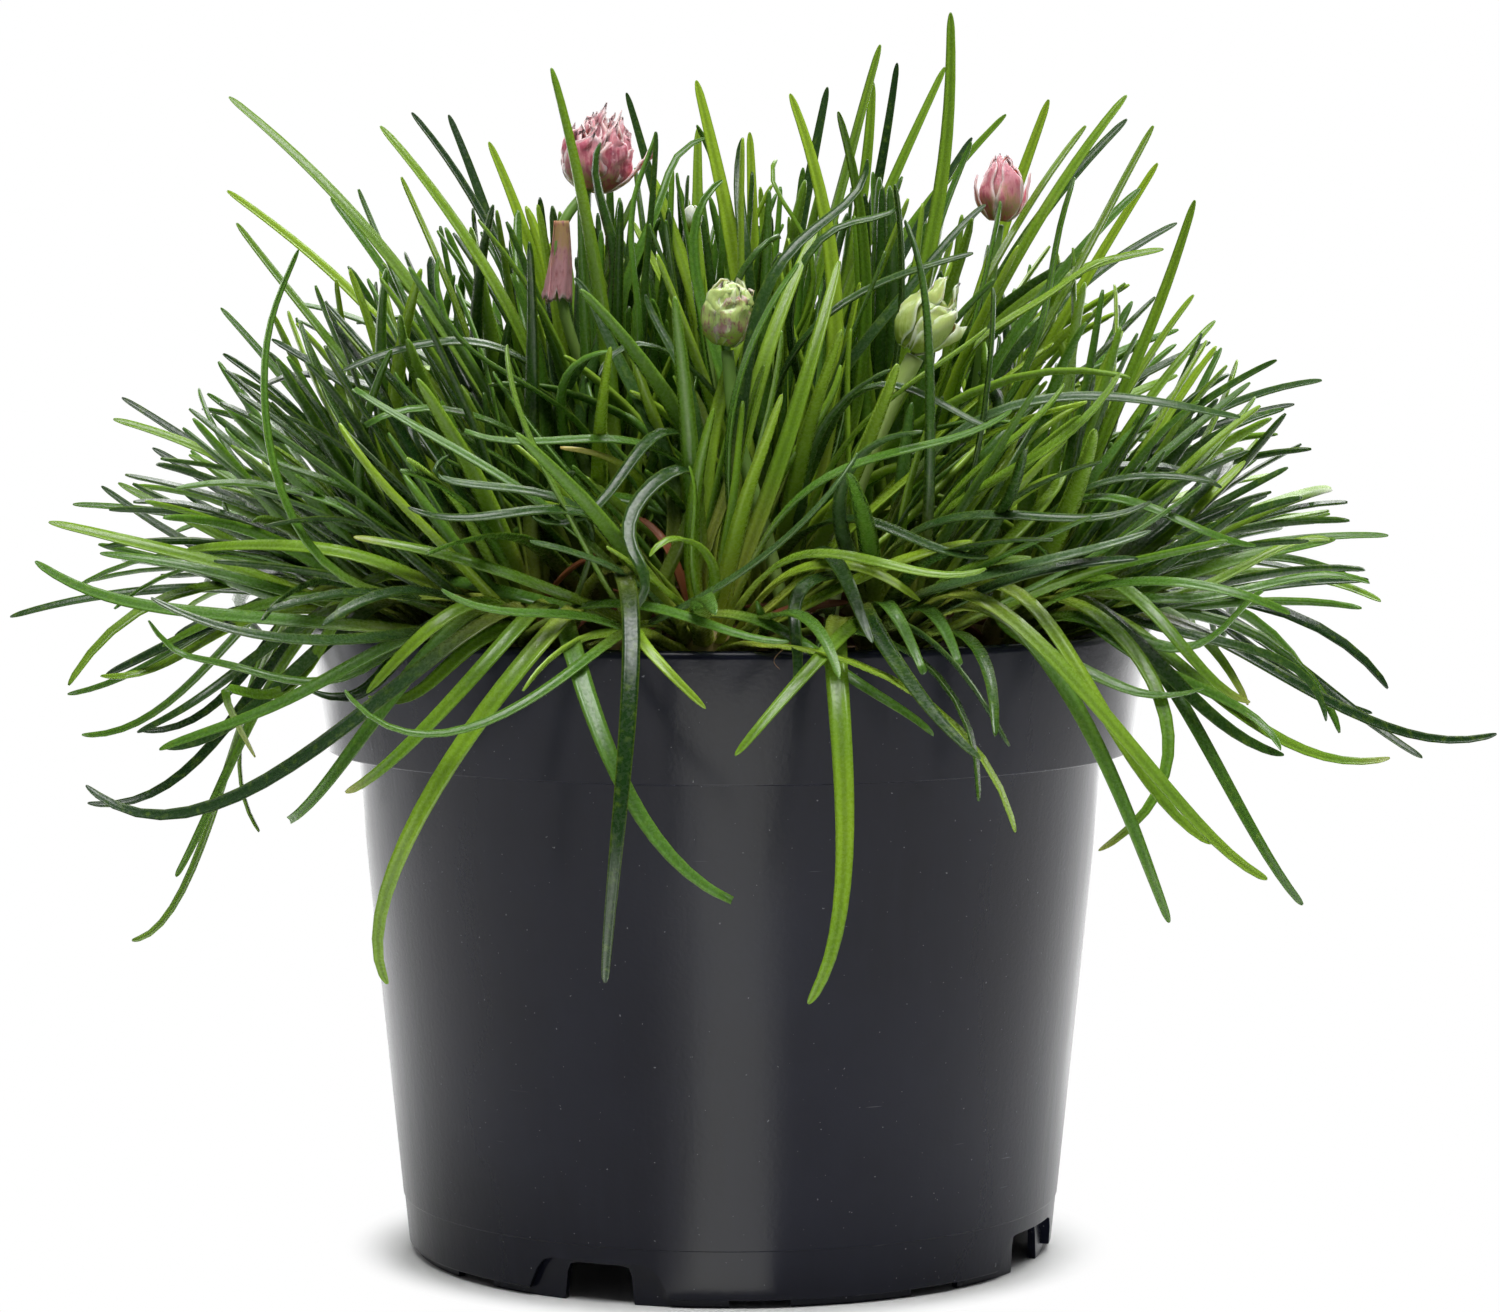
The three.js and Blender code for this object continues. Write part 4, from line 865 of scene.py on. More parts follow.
def tube(rings):
    """A closed body through rings of points: an array of ring, corner and place."""
    count, corners, _ = rings.shape
    vertices = np.concatenate([rings.reshape(-1, 3), [rings[0].mean(0)], [rings[-1].mean(0)]])
    faces = ring_faces(count, corners)
    base, end = count * corners, count * corners + 1
    last = (count - 1) * corners
    faces += [[base, (i + 1) % corners, i] for i in range(corners)]
    faces += [[end, last + i, last + (i + 1) % corners] for i in range(corners)]
    return vertices, faces


def smooth_route(points, steps):
    """Points along a smooth line through the given ones, with the same number of steps between each pair."""
    points = np.asarray(points, float)
    ends = np.vstack([2 * points[0] - points[1], points, 2 * points[-1] - points[-2]])
    shares = (np.arange(steps) / steps)[:, None]
    line = []
    for i in range(1, len(ends) - 2):
        row = list(ends[i - 1 : i + 3])
        knots = np.cumsum([0.0, *np.linalg.norm(np.diff(row, axis=0), axis=1) ** 0.5])
        places = knots[1] + (knots[2] - knots[1]) * shares
        for step in (1, 2, 3):
            for n in range(4 - step):
                low, high = (knots[1], knots[2]) if step == 3 else (knots[n], knots[n + step])
                row[n] = row[n] + (row[n + 1] - row[n]) * (places - low) / (high - low)
        line.append(row[0])
    return np.vstack([*line, points[-1:]])


def cord_rings(line, radii, corners):
    """Round rings square to a line, which don't twist along it."""
    along = unit(np.gradient(line, axis=0))
    side = unit(np.cross(along[0], [0.3, 1.0, 0.2]))
    rings = []
    for place, way, radius in zip(line, along, np.broadcast_to(radii, len(line))):
        side = unit(side - way * (side @ way))
        front = np.cross(way, side)
        turns = circle(corners)
        rings.append(place + radius * (np.outer(np.cos(turns), side) + np.outer(np.sin(turns), front)))
    return np.array(rings)


# How the leaves grow


def arch(points, shares):
    """Points at shares of the way along a smooth arch through three or four points."""
    gaps = np.linalg.norm(np.diff(points, axis=0), axis=1)
    knots = np.concatenate([[0.0], np.cumsum(gaps)])
    places = np.asarray(shares, float)[:, None] * knots[-1]
    row = [np.broadcast_to(point, (len(places), 3)) for point in points]
    for step in range(1, len(points)):
        for i in range(len(points) - step):
            row[i] = row[i] + (row[i + 1] - row[i]) * (places - knots[i]) / (knots[i + step] - knots[i])
    return row[0]


def blade_run(points, crown, turn, shares):
    """Where a leaf runs, what lies across it and which way it faces, at shares of its length."""
    shares = np.asarray(shares, float)
    heading = np.array([points[-1][0] - crown["x"], points[-1][1] - crown["y"], 0.0])
    if np.linalg.norm(heading) < 1:
        heading = np.array([crown["out_x"], crown["out_y"], 0.0])
    heading = unit(heading)
    sideways = np.array([-heading[1], heading[0], 0.0])
    along = unit(arch(points, np.minimum(shares + 0.01, 1)) - arch(points, np.maximum(shares - 0.01, 0)))
    across = unit(sideways - along * (along @ sideways)[:, None])
    angle = (turn * (0.3 + 0.7 * shares))[:, None]
    across = across * np.cos(angle) + np.cross(along, across) * np.sin(angle)
    return arch(points, shares), across, np.cross(along, across)


def width_share(shares):
    """The share of its full width that a leaf of the frame has: narrower at the root and towards the tip."""
    past_taper = np.maximum((shares - PLAIN_TAPER["start"]) / (1 - PLAIN_TAPER["start"]), 0)
    widening = PLAIN_ROOT_WIDTH + (1 - PLAIN_ROOT_WIDTH) * np.minimum(shares / PLAIN_ROOT_LENGTH, 1)
    return widening * (1 - PLAIN_TAPER["loss"] * past_taper ** PLAIN_TAPER["power"])


def line_distances(starts, ends, other_starts, other_ends):
    """The shortest distance between each straight line and each other one."""
    u = (ends - starts)[:, None]
    v = (other_ends - other_starts)[None]
    w = starts[:, None] - other_starts[None]
    uu, vv, uv = (u * u).sum(-1), (v * v).sum(-1), (u * v).sum(-1)
    uw, vw = (u * w).sum(-1), (v * w).sum(-1)
    flat = uu * vv - uv * uv
    s = np.where(flat > 1e-9, np.clip((uv * vw - vv * uw) / np.maximum(flat, 1e-9), 0, 1), 0.0)
    t = np.where(vv > 1e-9, (uv * s + vw) / np.maximum(vv, 1e-9), 0.0)
    beyond = (t < 0) | (t > 1)
    t = np.clip(t, 0, 1)
    s = np.where(beyond, np.clip((uv * t - uw) / np.maximum(uu, 1e-9), 0, 1), s)
    return np.linalg.norm(w + u * s[..., None] - v * t[..., None], axis=-1)


class Cushion:
    """What a new leaf keeps clear of: crowns, stalks, flower heads and the leaves grown so far."""

    def __init__(self):
        self.things = []
        self.lows = np.empty((0, 3))
        self.highs = np.empty((0, 3))

    def box(self, starts, ends, radius):
        """The corners of the box that holds lines of a radius, with the gap round them."""
        both = np.concatenate([starts, ends])
        return both.min(0) - radius - LEAF_GAP, both.max(0) + radius + LEAF_GAP

    def add(self, starts, ends, radii, first, owner, is_crown=False):
        """Adds a thing as straight lines with radii. first marks a line that begins in its owner's crown."""
        radii = np.broadcast_to(np.asarray(radii, float), len(starts))
        low, high = self.box(starts, ends, radii.max())
        self.things.append((starts, ends, radii, first, owner, is_crown))
        self.lows = np.vstack([self.lows, low])
        self.highs = np.vstack([self.highs, high])

    def is_clear(self, starts, ends, first, owner, gap):
        """Whether lines stay clear. Near their common crown the leaves of one tuft may touch."""
        low, high = self.box(starts, ends, LINE_RADIUS)
        near = np.flatnonzero(np.all(self.lows <= high, axis=1) & np.all(self.highs >= low, axis=1))
        met = [self.things[i] for i in near if not (self.things[i][5] and self.things[i][4] == owner)]
        if not met:
            return True
        own = np.concatenate([np.full(len(thing[0]), thing[4] == owner) for thing in met])
        others_first = np.concatenate([thing[3] for thing in met])
        radii = np.concatenate([thing[2] for thing in met])
        other_starts = np.concatenate([thing[0] for thing in met])
        other_ends = np.concatenate([thing[1] for thing in met])
        distances = line_distances(starts, ends, other_starts, other_ends)
        excused = own[None] & (first[:, None] | others_first[None])
        return not np.any((distances < LINE_RADIUS + radii[None] + gap) & ~excused)


def over_the_rim(starts, ends, crown):
    """Whether a leaf passes over the compost and the rim, and stays off the outside of the pot."""
    for step in (0, 0.25, 0.5, 0.75, 1):
        points = starts + (ends - starts) * step
        reach = np.hypot(points[:, 0], points[:, 1])
        away = np.hypot(points[:, 0] - crown["x"], points[:, 1] - crown["y"])
        over_soil = reach < RIM_RADIUS - WALL - RIM_CLEARANCE
        floor = np.where(over_soil, SOIL_TOP + SOIL_CLEARANCE, POT_HEIGHT + RIM_CLEARANCE)
        over_pot = reach <= RIM_RADIUS + RIM_CLEARANCE
        if np.any(over_pot & (away > CROWN_RADIUS) & (points[:, 2] < floor)):
            return False
    return True


def over(crown, height):
    """The point at a height on the crown's upright axis."""
    return np.array([crown["x"], crown["y"], height])


def leaf_root(crown, target):
    """The point in the crown where a leaf that heads for a target begins."""
    away = unit(target - over(crown, LEAF_START))
    x = crown["x"] + BASE_SPREAD * (away[0] - crown["out_x"] * math.sin(crown["lean"]))
    y = crown["y"] + BASE_SPREAD * (away[1] - crown["out_y"] * math.sin(crown["lean"]))
    return np.array([x, y, LEAF_START + LEAF_START_RISE * max(away[2], 0)])


def all_crowns():
    """Every crown, ring by ring, with no leaves yet."""
    crowns = []
    for ring in CROWN_RINGS:
        for i in range(ring["count"]):
            bearing = math.radians(ring["first"] + (360 / ring["count"]) * i)
            out_x, out_y = math.sin(bearing), -math.cos(bearing)
            place = {"x": ring["reach"] * out_x, "y": ring["reach"] * out_y, "out_x": out_x, "out_y": out_y}
            angles = {name: math.radians(ring[name]) for name in ("lean", "spread")}
            names = {"name": f"{ring['name']}_{i + 1}", "ring": ring["name"]}
            crowns.append({**ring, **place, **angles, **names, "bearing": bearing, "grown": []})
    return crowns


def standing_things(crowns):
    """The cushion before any leaf grows in it: crowns, stalks and flower heads."""
    cushion = Cushion()
    for crown in crowns:
        foot, shoulder = over(crown, CROWN_FOOT)[None], over(crown, CROWN_SHOULDER)[None]
        cushion.add(foot, shoulder, CROWN_RADIUS, np.array([False]), crown["name"], True)
    for name, flower in FLOWERS.items():
        route = np.array(flower["route"], float)
        across, tall = flower["core"]
        lift = np.array([0, 0, max(tall - across, 0) + HEAD_LIFT])
        centre = np.array(flower["centre"], float)
        starts = [*route[:-1], centre - lift]
        ends = [*route[1:], centre + lift]
        radii = [flower["radius"]] * (len(route) - 1) + [across + HEAD_CLEARANCE]
        if name == "open_bud":
            starts.append([SHEATH["x"], SHEATH["y"], SHEATH["bottom"]])
            ends.append([SHEATH["x"], SHEATH["y"], SHEATH["top"]])
            radii.append(SHEATH["bottom_radius"] + SHEATH_CLEARANCE)
        cushion.add(np.array(starts), np.array(ends), radii, np.zeros(len(radii), bool), name)
    return cushion


def try_leaf(cushion, crown, points, width, turn, shares, kind, sides=(-1, 0, 1), gap=LEAF_GAP):
    """Tries one leaf, and keeps it where it is clear of everything."""
    points = np.array([leaf_root(crown, points[0]), *points])
    shares = np.asarray(shares, float)
    centre, across, face = blade_run(points, crown, turn, shares)
    aside = (width * width_share(shares) / LINE_SHARE)[:, None]
    lines = [centre + across * (side * aside) - face * LINE_DEPTH for side in sides]
    starts = np.concatenate([line[:-1] for line in lines])
    ends = np.concatenate([line[1:] for line in lines])
    first = np.tile(np.arange(len(shares) - 1) == 0, len(sides))
    if not over_the_rim(starts, ends, crown):
        return False
    if not cushion.is_clear(starts, ends, first, crown["name"], gap):
        return False
    cushion.add(starts, ends, LINE_RADIUS, first, crown["name"])
    crown["grown"].append({"points": points, "width": width, "turn": turn, "kind": kind})
    return True


def grow_placed_leaves(crowns, cushion, table, stations, draw, sides=(-1, 0, 1), gap=LEAF_GAP):
    """The leaves of a table keep their tips. Where one would touch another, it is bent a little."""
    for crown in crowns:
        for width, *places in table.get(crown["name"], []):
            kind = places.pop() if isinstance(places[-1], str) else "shown"
            for attempt in range(PLACED_TRIES):
                points = []
                for i, place in enumerate(places):
                    shift = np.array([draw() - 0.5, draw() - 0.5, draw() - 0.3]) * (attempt * PLACED_BEND)
                    if i == len(places) - 1:
                        shift[[0, 2]] = 0
                    points.append(np.array(place, float) + shift)
                off_x, off_y = points[-1][0] - crown["x"], points[-1][1] - crown["y"]
                turn = FACE_TURN * off_x / max(math.hypot(off_x, off_y), 1)
                if try_leaf(cushion, crown, points, width, turn, stations, kind, sides, gap):
                    break


def step_from(start, bearing, lean, distance):
    """The point reached by going a distance at a bearing, leaning from the vertical."""
    out = math.sin(lean) * distance
    return start + np.array([out * math.sin(bearing), -out * math.cos(bearing), math.cos(lean) * distance])


def inside_cushion(tip):
    """Whether a leaf tip is within the round outline of the cushion."""
    sizes = np.array([CUSHION["across"], CUSHION["deep"], CUSHION["up"]])
    return (((tip - [0, 0, CUSHION["low"]]) / sizes) ** 2).sum() < 1


def bending(crown, bends, bearing, lean, droop, swing, length):
    """A leaf's points as it turns and leans over in steps, and its length, short enough for the cushion."""
    while True:
        points = [over(crown, LEAF_START)]
        for swung, drooped in bends:
            way, tilt = bearing + swing * swung, lean + droop * drooped
            points.append(step_from(points[-1], way, tilt, length / len(bends)))
        if inside_cushion(points[-1]):
            return points[1:], length
        length *= SHORTER


def grow_filling_leaves(crowns, cushion, draw):
    """The other leaves, spread evenly about the way that each crown leans, drooping as they go out."""
    for crown in crowns:
        missing = crown["leaves"] - len(crown["grown"])
        for i in range(missing):
            for attempt in range(FILLING_TRIES):
                loose = LOOSENESS[0] + LOOSENESS[1] * attempt
                off = crown["spread"] * math.sqrt((i + 0.5) / missing)
                wanted = crown["lean"] + off * math.cos(i * GOLDEN_TURN) + (draw() - 0.5) * loose
                lean = min(wanted, MOST_LEAN - LEAN_LEEWAY * draw())
                aside = off * math.sin(i * GOLDEN_TURN) / max(math.sin(crown["lean"]), LEAST_LEAN_SINE)
                bearing = crown["bearing"] + aside + (draw() - 0.5) * loose
                length = crown["length"] * between(LENGTH_SHARES, draw)
                droop = between(DROOPS, draw) * math.sin(max(lean, LEAST_DROOP_LEAN))
                swing = between(SWINGS, draw)
                width = between(WIDTHS, draw)
                turn = between(TURNS, draw)
                points, length = bending(crown, FILLING_BENDS, bearing, lean, droop, swing, length)
                if length < SHORTEST_LEAF:
                    continue
                if try_leaf(cushion, crown, points, width, turn, FILLING_STATIONS, "filling"):
                    break


def keep_open(cushion):
    """Keeps leaves out of the lines of sight to the heads and to the pale leaf bases at the front."""
    for place, radius in OPEN_TO_FRONT:
        place = np.array(place, float)
        towards = unit(np.array(CAMERA_PLACE) / MM - place)
        start = place + towards * 2 * radius
        end = place + towards * SIGHT_LENGTH
        cushion.add(start[None], end[None], radius, np.array([False]), "sight")


def keep_in_sight(crowns, cushion):
    """Keeps leaves out of the lines of sight to the upper parts of the leaves that show singly."""
    eye = np.array(CAMERA_PLACE) / MM
    for crown in crowns:
        shares = np.linspace(LEAF_SIGHT[crown["ring"]], LEAF_SIGHT_END, LEAF_SIGHT_POINTS)
        for leaf in crown["grown"]:
            if leaf["kind"] == "filling":
                continue
            points = arch(leaf["points"], shares)
            points = points[points[:, 1] < FRONT_HALF]
            if len(points):
                towards = unit(eye - points)
                starts = points + towards * LEAF_SIGHT_START
                ends = points + towards * LEAF_SIGHT_LENGTH
                cushion.add(starts, ends, LEAF_SIGHT_RADIUS, np.zeros(len(points), bool), "sight")


def grow_extra_leaves(crowns, cushion, counts, draw):
    """More leaves among those of the frame, as thick as the real cushion, inside its outline."""
    keep_open(cushion)
    keep_in_sight(crowns, cushion)
    for crown in crowns:
        ring = crown["ring"]
        wanted = round(counts[ring] * THINNER.get(crown["name"], 1))
        for i in range(wanted):
            for _ in range(EXTRA_TRIES):
                off = crown["spread"] * EXTRA_SPREAD * math.sqrt((i + 0.5) / wanted)
                way = i * GOLDEN_TURN + EXTRA_FIRST_TURN
                lean = crown["lean"] + off * math.cos(way) + scattered(LEAN_SCATTER, draw)
                lean = min(lean + EXTRA_LEAN[ring], MOST_EXTRA_LEAN)
                aside = off * math.sin(way) / max(math.sin(crown["lean"]), LEAST_LEAN_SINE)
                bearing = crown["bearing"] + aside + scattered(BEARING_SCATTER, draw)
                length = crown["length"] * drawn(EXTRA_LENGTHS, draw)
                droop = EXTRA_BEND[ring] * drawn(EXTRA_DROOPS, draw) * math.sin(max(lean, LEAST_BEND_LEAN))
                swing = scattered(EXTRA_SWING, draw)
                width = drawn(EXTRA_WIDTHS, draw)
                turn = scattered(EXTRA_TURN, draw)
                points, length = bending(crown, EXTRA_BENDS, bearing, lean, droop, swing, length)
                end_run = points[-1] - points[-2]
                points_forward = end_run[1] < -FORWARD_SHARE * np.linalg.norm(end_run)
                if length < SHORTEST_EXTRA or (points_forward and draw() < FORWARD_DROPPED):
                    continue
                leaf = (points, width, turn, FILLING_STATIONS, "extra")
                if try_leaf(cushion, crown, *leaf, FINER_SIDES, EXTRA_GAP):
                    break


def grow_dead_leaves(crowns, draw):
    """Short dry leaves of last season, curled low round each crown."""
    for crown in crowns:
        start = over(crown, DEAD_START)
        for i in range(DEAD_COUNT):
            bearing = crown["bearing"] + i * DEAD_TURN + draw()
            lean = drawn(DEAD_LEANS, draw)
            middle = step_from(start, bearing, lean, drawn(DEAD_MIDDLES, draw))
            tip = step_from(middle, bearing + draw() - 0.5, lean + DEAD_DROOP, drawn(DEAD_ENDS, draw))
            too_low = min(middle[2], tip[2]) < SOIL_TOP + DEAD_CLEARANCE
            if too_low or math.hypot(tip[0], tip[1]) > DEAD_REACH:
                continue
            leaf = {"kind": "dead", "points": np.array([leaf_root(crown, middle), middle, tip])}
            leaf["width"] = drawn(DEAD_WIDTHS, draw)
            leaf["turn"] = DEAD_MOST_TURN * draw()
            crown["grown"].append(leaf)


def leaf_length(leaf):
    """The length of the straight lines between a leaf's points."""
    return np.linalg.norm(np.diff(leaf["points"], axis=0), axis=1).sum()


def leaf_shares(leaf):
    """The shares of a leaf's length where it has rings, and its roundness at each: from 1 to 0 at the tip."""
    plain = leaf["kind"] in PLAIN_KINDS
    fine, rounding = (FINE_SHARES, PLAIN_ROUNDING) if plain else (CLOSE_SHARES, TIP_ROUNDING)
    if leaf["kind"] == "cut":
        shares = np.concatenate([fine, CUT_SHARES])
        return shares, np.ones(len(shares))
    tip = min(TIP["widths"] * leaf["width"] / leaf_length(leaf), TIP["longest"])
    shares = np.concatenate([fine[fine < 1 - tip * TIP["overlap"]], 1 - tip + tip * rounding])
    return shares, np.sqrt(1 - (np.maximum(shares - 1 + tip, 0) / tip) ** TIP["power"])


def leaf_rings(leaf, crown):
    """The rings of one leaf, channelled above and keeled below, with their shares of its length."""
    width, kind = leaf["width"], leaf["kind"]
    section = PLAIN_SECTION if kind in PLAIN_KINDS else SECTION
    shares, closing = leaf_shares(leaf)
    centre, across, face = blade_run(leaf["points"], crown, leaf["turn"], shares)
    near_root = np.maximum(1 - shares / SHEATHING["length"], 0)
    sheathing = SHEATHING["width"] * near_root ** SHEATHING["power"]
    past_taper = np.maximum((shares - TAPER["start"]) / (1 - TAPER["start"]), 0)
    tapered = 1 - TAPER["loss"] * past_taper ** TAPER["power"]
    widening = ROOT_WIDTH + (1 - ROOT_WIDTH) * np.minimum(shares / ROOT_LENGTH, 1)
    half = HALF_WIDTH * width * (widening + sheathing) * tapered * closing
    thinning = THINNING[0] - THINNING[1] * shares
    depth = LEAF_THICKNESS * thinning * (TIP_THICKNESS + (1 - TIP_THICKNESS) * closing)
    if kind == "dead":
        depth *= DEAD_THICKNESS
    ripple = RIPPLE * width * np.sin(shares * (RIPPLE_TURNS[0] + width) + RIPPLE_TURNS[1] * width)
    rings = (
        (centre + face * ripple[:, None])[:, None]
        + across[:, None] * (half[:, None] * section[:, 0])[..., None]
        + face[:, None] * (depth[:, None] * section[:, 1])[..., None]
    )
    return rings, shares, section


def leaf_values(leaf, crown, draw):
    """How fresh, how dry and how grey with bloom a leaf is, from 0 to 1: upright leaves are fresher."""
    run = leaf["points"][-1] - leaf["points"][0]
    upright = max(run[2] / np.linalg.norm(run), 0)
    fresh = LEAST_FRESH + UPRIGHT_FRESH * upright + (draw() - MIDDLE_DRAW) + FRESHER.get(crown["name"], 0)
    tones = (min(max(fresh, 0), 1), MOST_DRY * draw() ** 3, MOST_BLOOM * draw() ** 3)
    return KIND_TONES.get(leaf["kind"], tones)


def leaf_layout(shares, corners, strip):
    """The texture places of a leaf's face corners. strip is its column, its row and the rows in all."""
    column, row, rows = strip
    left = (column + STRIP["left"]) / 2
    low = (row + STRIP["foot"]) / rows
    step = STRIP["height"] / rows / corners
    places = []
    for share, next_share in zip(shares, shares[1:]):
        u, u_next = left + STRIP["length"] * share, left + STRIP["length"] * next_share
        for i in range(corners):
            v, v_next = low + step * i, low + step * (i + 1)
            places += [(u, v), (u, v_next), (u_next, v_next), (u_next, v)]
    for end in (left, left + STRIP["length"] * shares[-1]):
        for i in range(corners):
            places += [(end, low), (end, low + step * i), (end, low + step * (i + 1))]
    return places


def add_leaf(shape, leaf, crown, draw, strip):
    """Adds one leaf to its tuft, with its strip of the piece's texture layout."""
    rings, shares, section = leaf_rings(leaf, crown)
    vertices, faces = tube(rings)
    corners = len(section)
    fresh, dry, bloom = leaf_values(leaf, crown, draw)
    along = np.concatenate([np.repeat(shares, corners), [0, 1]])
    edge = np.concatenate([np.tile(np.abs(section[:, 0]), len(shares)), [0, 0]])
    under = np.concatenate([np.tile((section[:, 1] < -0.5).astype(float), len(shares)), [0, 0]])
    places = leaf_layout(shares, corners, strip)
    shape.add(vertices, faces, places, along=along, edge=edge, fresh=fresh, dry=dry, bloom=bloom, under=under)


def add_crown(shape, crown, rows):
    """The short fluted stem that a tuft grows from, wrapped in old leaf bases."""
    heights, radii = np.array(CROWN_PROFILE).T
    turns = circle(CROWN_SIDES)
    flutes = 1 + CROWN_FLUTES[1] * np.cos(CROWN_FLUTES[0] * turns)
    rings = np.empty((len(heights), len(turns), 3))
    rings[..., 0] = crown["x"] + radii[:, None] * flutes * np.cos(turns)
    rings[..., 1] = crown["y"] + radii[:, None] * flutes * np.sin(turns)
    rings[..., 2] = heights[:, None]
    vertices, faces = tube(rings)
    wide, deep = CROWN_STRIP
    places = []
    for face in faces:
        for index in face:
            place = vertices[index] - over(crown, CROWN_FOOT)
            places.append((0.5 + place[0] / wide, (0.5 + place[1] / deep) * STRIP["height"] / rows))
    shape.add(vertices, faces, places, **CROWN_TONE)


# Materials


class Wire:
    """A node's socket that takes part in plain sums: each operation adds its Math node."""

    def __init__(self, finish, socket):
        self.finish = finish
        self.socket = socket

    def sum(self, operation, first, second=0.0):
        """Adds one Math node."""
        return self.finish.node("ShaderNodeMath", {"operation": operation}, {0: first, 1: second})

    def __add__(self, other):
        return self.sum("ADD", self, other)

    def __radd__(self, other):
        return self.sum("ADD", other, self)

    def __sub__(self, other):
        return self.sum("SUBTRACT", self, other)

    def __rsub__(self, other):
        return self.sum("SUBTRACT", other, self)

    def __mul__(self, other):
        return self.sum("MULTIPLY", self, other)

    def __rmul__(self, other):
        return self.sum("MULTIPLY", other, self)


class Graph:
    """The nodes of a material or of the surround, added one by one."""

    def __init__(self, owner):
        owner.use_nodes = True
        self.owner = owner
        self.nodes = owner.node_tree.nodes
        self.nodes.clear()

    def node(self, kind, settings=None, sockets=None, out=0):
        """Adds a node: first its settings, then the values or links of its sockets."""
        made = self.nodes.new(kind)
        for name, value in (settings or {}).items():
            setattr(made, name, value)
        for key, value in (sockets or {}).items():
            if isinstance(value, Wire):
                self.owner.node_tree.links.new(value.socket, made.inputs[key])
            else:
                made.inputs[key].default_value = value
        return Wire(self, made.outputs[out]) if made.outputs else None

    def ramp(self, value, low, high):
        """0 below low, 1 above high, and smooth between."""
        sockets = {"Value": value, "From Min": low, "From Max": high}
        return self.node("ShaderNodeMapRange", {"interpolation_type": "SMOOTHSTEP"}, sockets)


class Finish(Graph):
    """A procedural material of one Principled shader."""

    def __init__(self, name):
        old = bpy.data.materials.get(name)
        if old is not None:
            bpy.data.materials.remove(old)
        super().__init__(bpy.data.materials.new(name))
        self.place = self.node("ShaderNodeTexCoord", out="Object")

    def value(self, name):
        """A named value that the mesh carries."""
        return self.node("ShaderNodeAttribute", {"attribute_name": name}, out="Fac")

    def spots(self, scale, detail=2.0, roughness=0.5, place=None):
        """Soft noise from 0 to 1, scale to the metre."""
        sockets = {"Vector": place or self.place, "Scale": scale, "Detail": detail, "Roughness": roughness}
        return self.node("ShaderNodeTexNoise", {"noise_dimensions": "3D"}, sockets)

    def stretched(self, x, y, z):
        """Places for noise that is stretched: the smaller a number, the longer the noise that way."""
        return self.node("ShaderNodeVectorMath", {"operation": "MULTIPLY"}, {0: self.place, 1: (x, y, z)})

    def blend(self, share, first, second):
        """A colour from the first to the second."""
        return self.node("ShaderNodeMix", {"data_type": "RGBA"}, {0: share, 6: first, 7: second}, 2)

    def layered(self, colour, *layers):
        """A colour with others laid over it, each as thick as its share."""
        for share, layer in layers:
            colour = self.blend(share, colour, layer)
        return colour

    def bumps(self, height, depth, strength=1.0, normal=None):
        """Fine relief of a depth in metres, on top of another one where normal is given."""
        sockets = {"Height": height, "Distance": depth, "Strength": strength}
        if normal is not None:
            sockets["Normal"] = normal
        return self.node("ShaderNodeBump", None, sockets)

    def shade(self, **sockets):
        """Ends the material in its shader. Socket names have an underscore for each space."""
        named = {name.replace("_", " "): value for name, value in sockets.items()}
        shader = self.node("ShaderNodeBsdfPrincipled", None, named)
        self.node("ShaderNodeOutputMaterial", None, {"Surface": shader})
        return self.owner


def colours(settings, *names):
    """The colours of those names in a group of settings."""
    return [tuple(getattr(settings, name)) for name in names]


def leaf_finish(settings):
    """Waxy strap leaves: yellow at the root, finely pitted, with a painted highlight along the margins and
    painted shade down the channel.
    """
    made = Finish("leaf")
    along, edge, fresh = (made.value(name) for name in ("along", "edge", "fresh"))
    dry, bloom, under = (made.value(name) for name in ("dry", "bloom", "under"))
    deep, mid, young, grey = colours(settings, "deep_green", "mid_green", "fresh_green", "bloom")
    yellow, blush = colours(settings, "root_yellow", "root_blush")
    straw, orange, brown = colours(settings, "dry_straw", "dry_orange", "dry_brown")
    patches = made.spots(45, 3)
    pits = made.spots(2100, 1)
    streaks = made.spots(900, 2)
    tone = fresh + (patches - 0.5) * 0.35
    age = along + dry * 1.4
    colour = made.layered(
        deep,
        (made.ramp(tone, 0.05, 0.5), mid),
        (made.ramp(tone, 0.45, 0.95), young),
        (made.ramp(0.46 - along, 0.0, 0.4) * (0.5 + 0.5 * fresh), yellow),
        (made.ramp(0.075 - along, 0.0, 0.06) * 0.75, blush),
        # Painted shade: the middle of the channel on the upper side is darkened towards deep green
        (made.ramp(0.45 - edge, 0.0, 0.35) * (1 - under) * 0.3, deep),
        # Painted highlight: the margins are lightened towards fresh green, standing in for rim light through
        # the thin edges
        (made.ramp(edge, 0.78, 1.0) * 0.22, young),
        (under * 0.22, mid),
        (made.ramp(streaks, 0.5, 0.8) * 0.16, young),
        (bloom * (0.45 + 0.5 * patches) * made.ramp(along, 0.05, 0.4), grey),
        (made.ramp(age + (patches - 0.5) * 0.1, 1.18, 1.5), straw),
        (made.ramp(age, 1.42, 1.56), orange),
        (made.ramp(dry + (patches - 0.5) * 0.3, 0.7, 1.0), brown),
    )
    rough = 0.2 + 0.18 * made.ramp(pits, 0.35, 0.7) + 0.2 * made.ramp(dry, 0.3, 0.9)
    bump = made.bumps(pits, 0.00004, 0.4)
    return made.shade(Base_Color=colour, Roughness=rough, Normal=bump, Specular_IOR_Level=0.38)


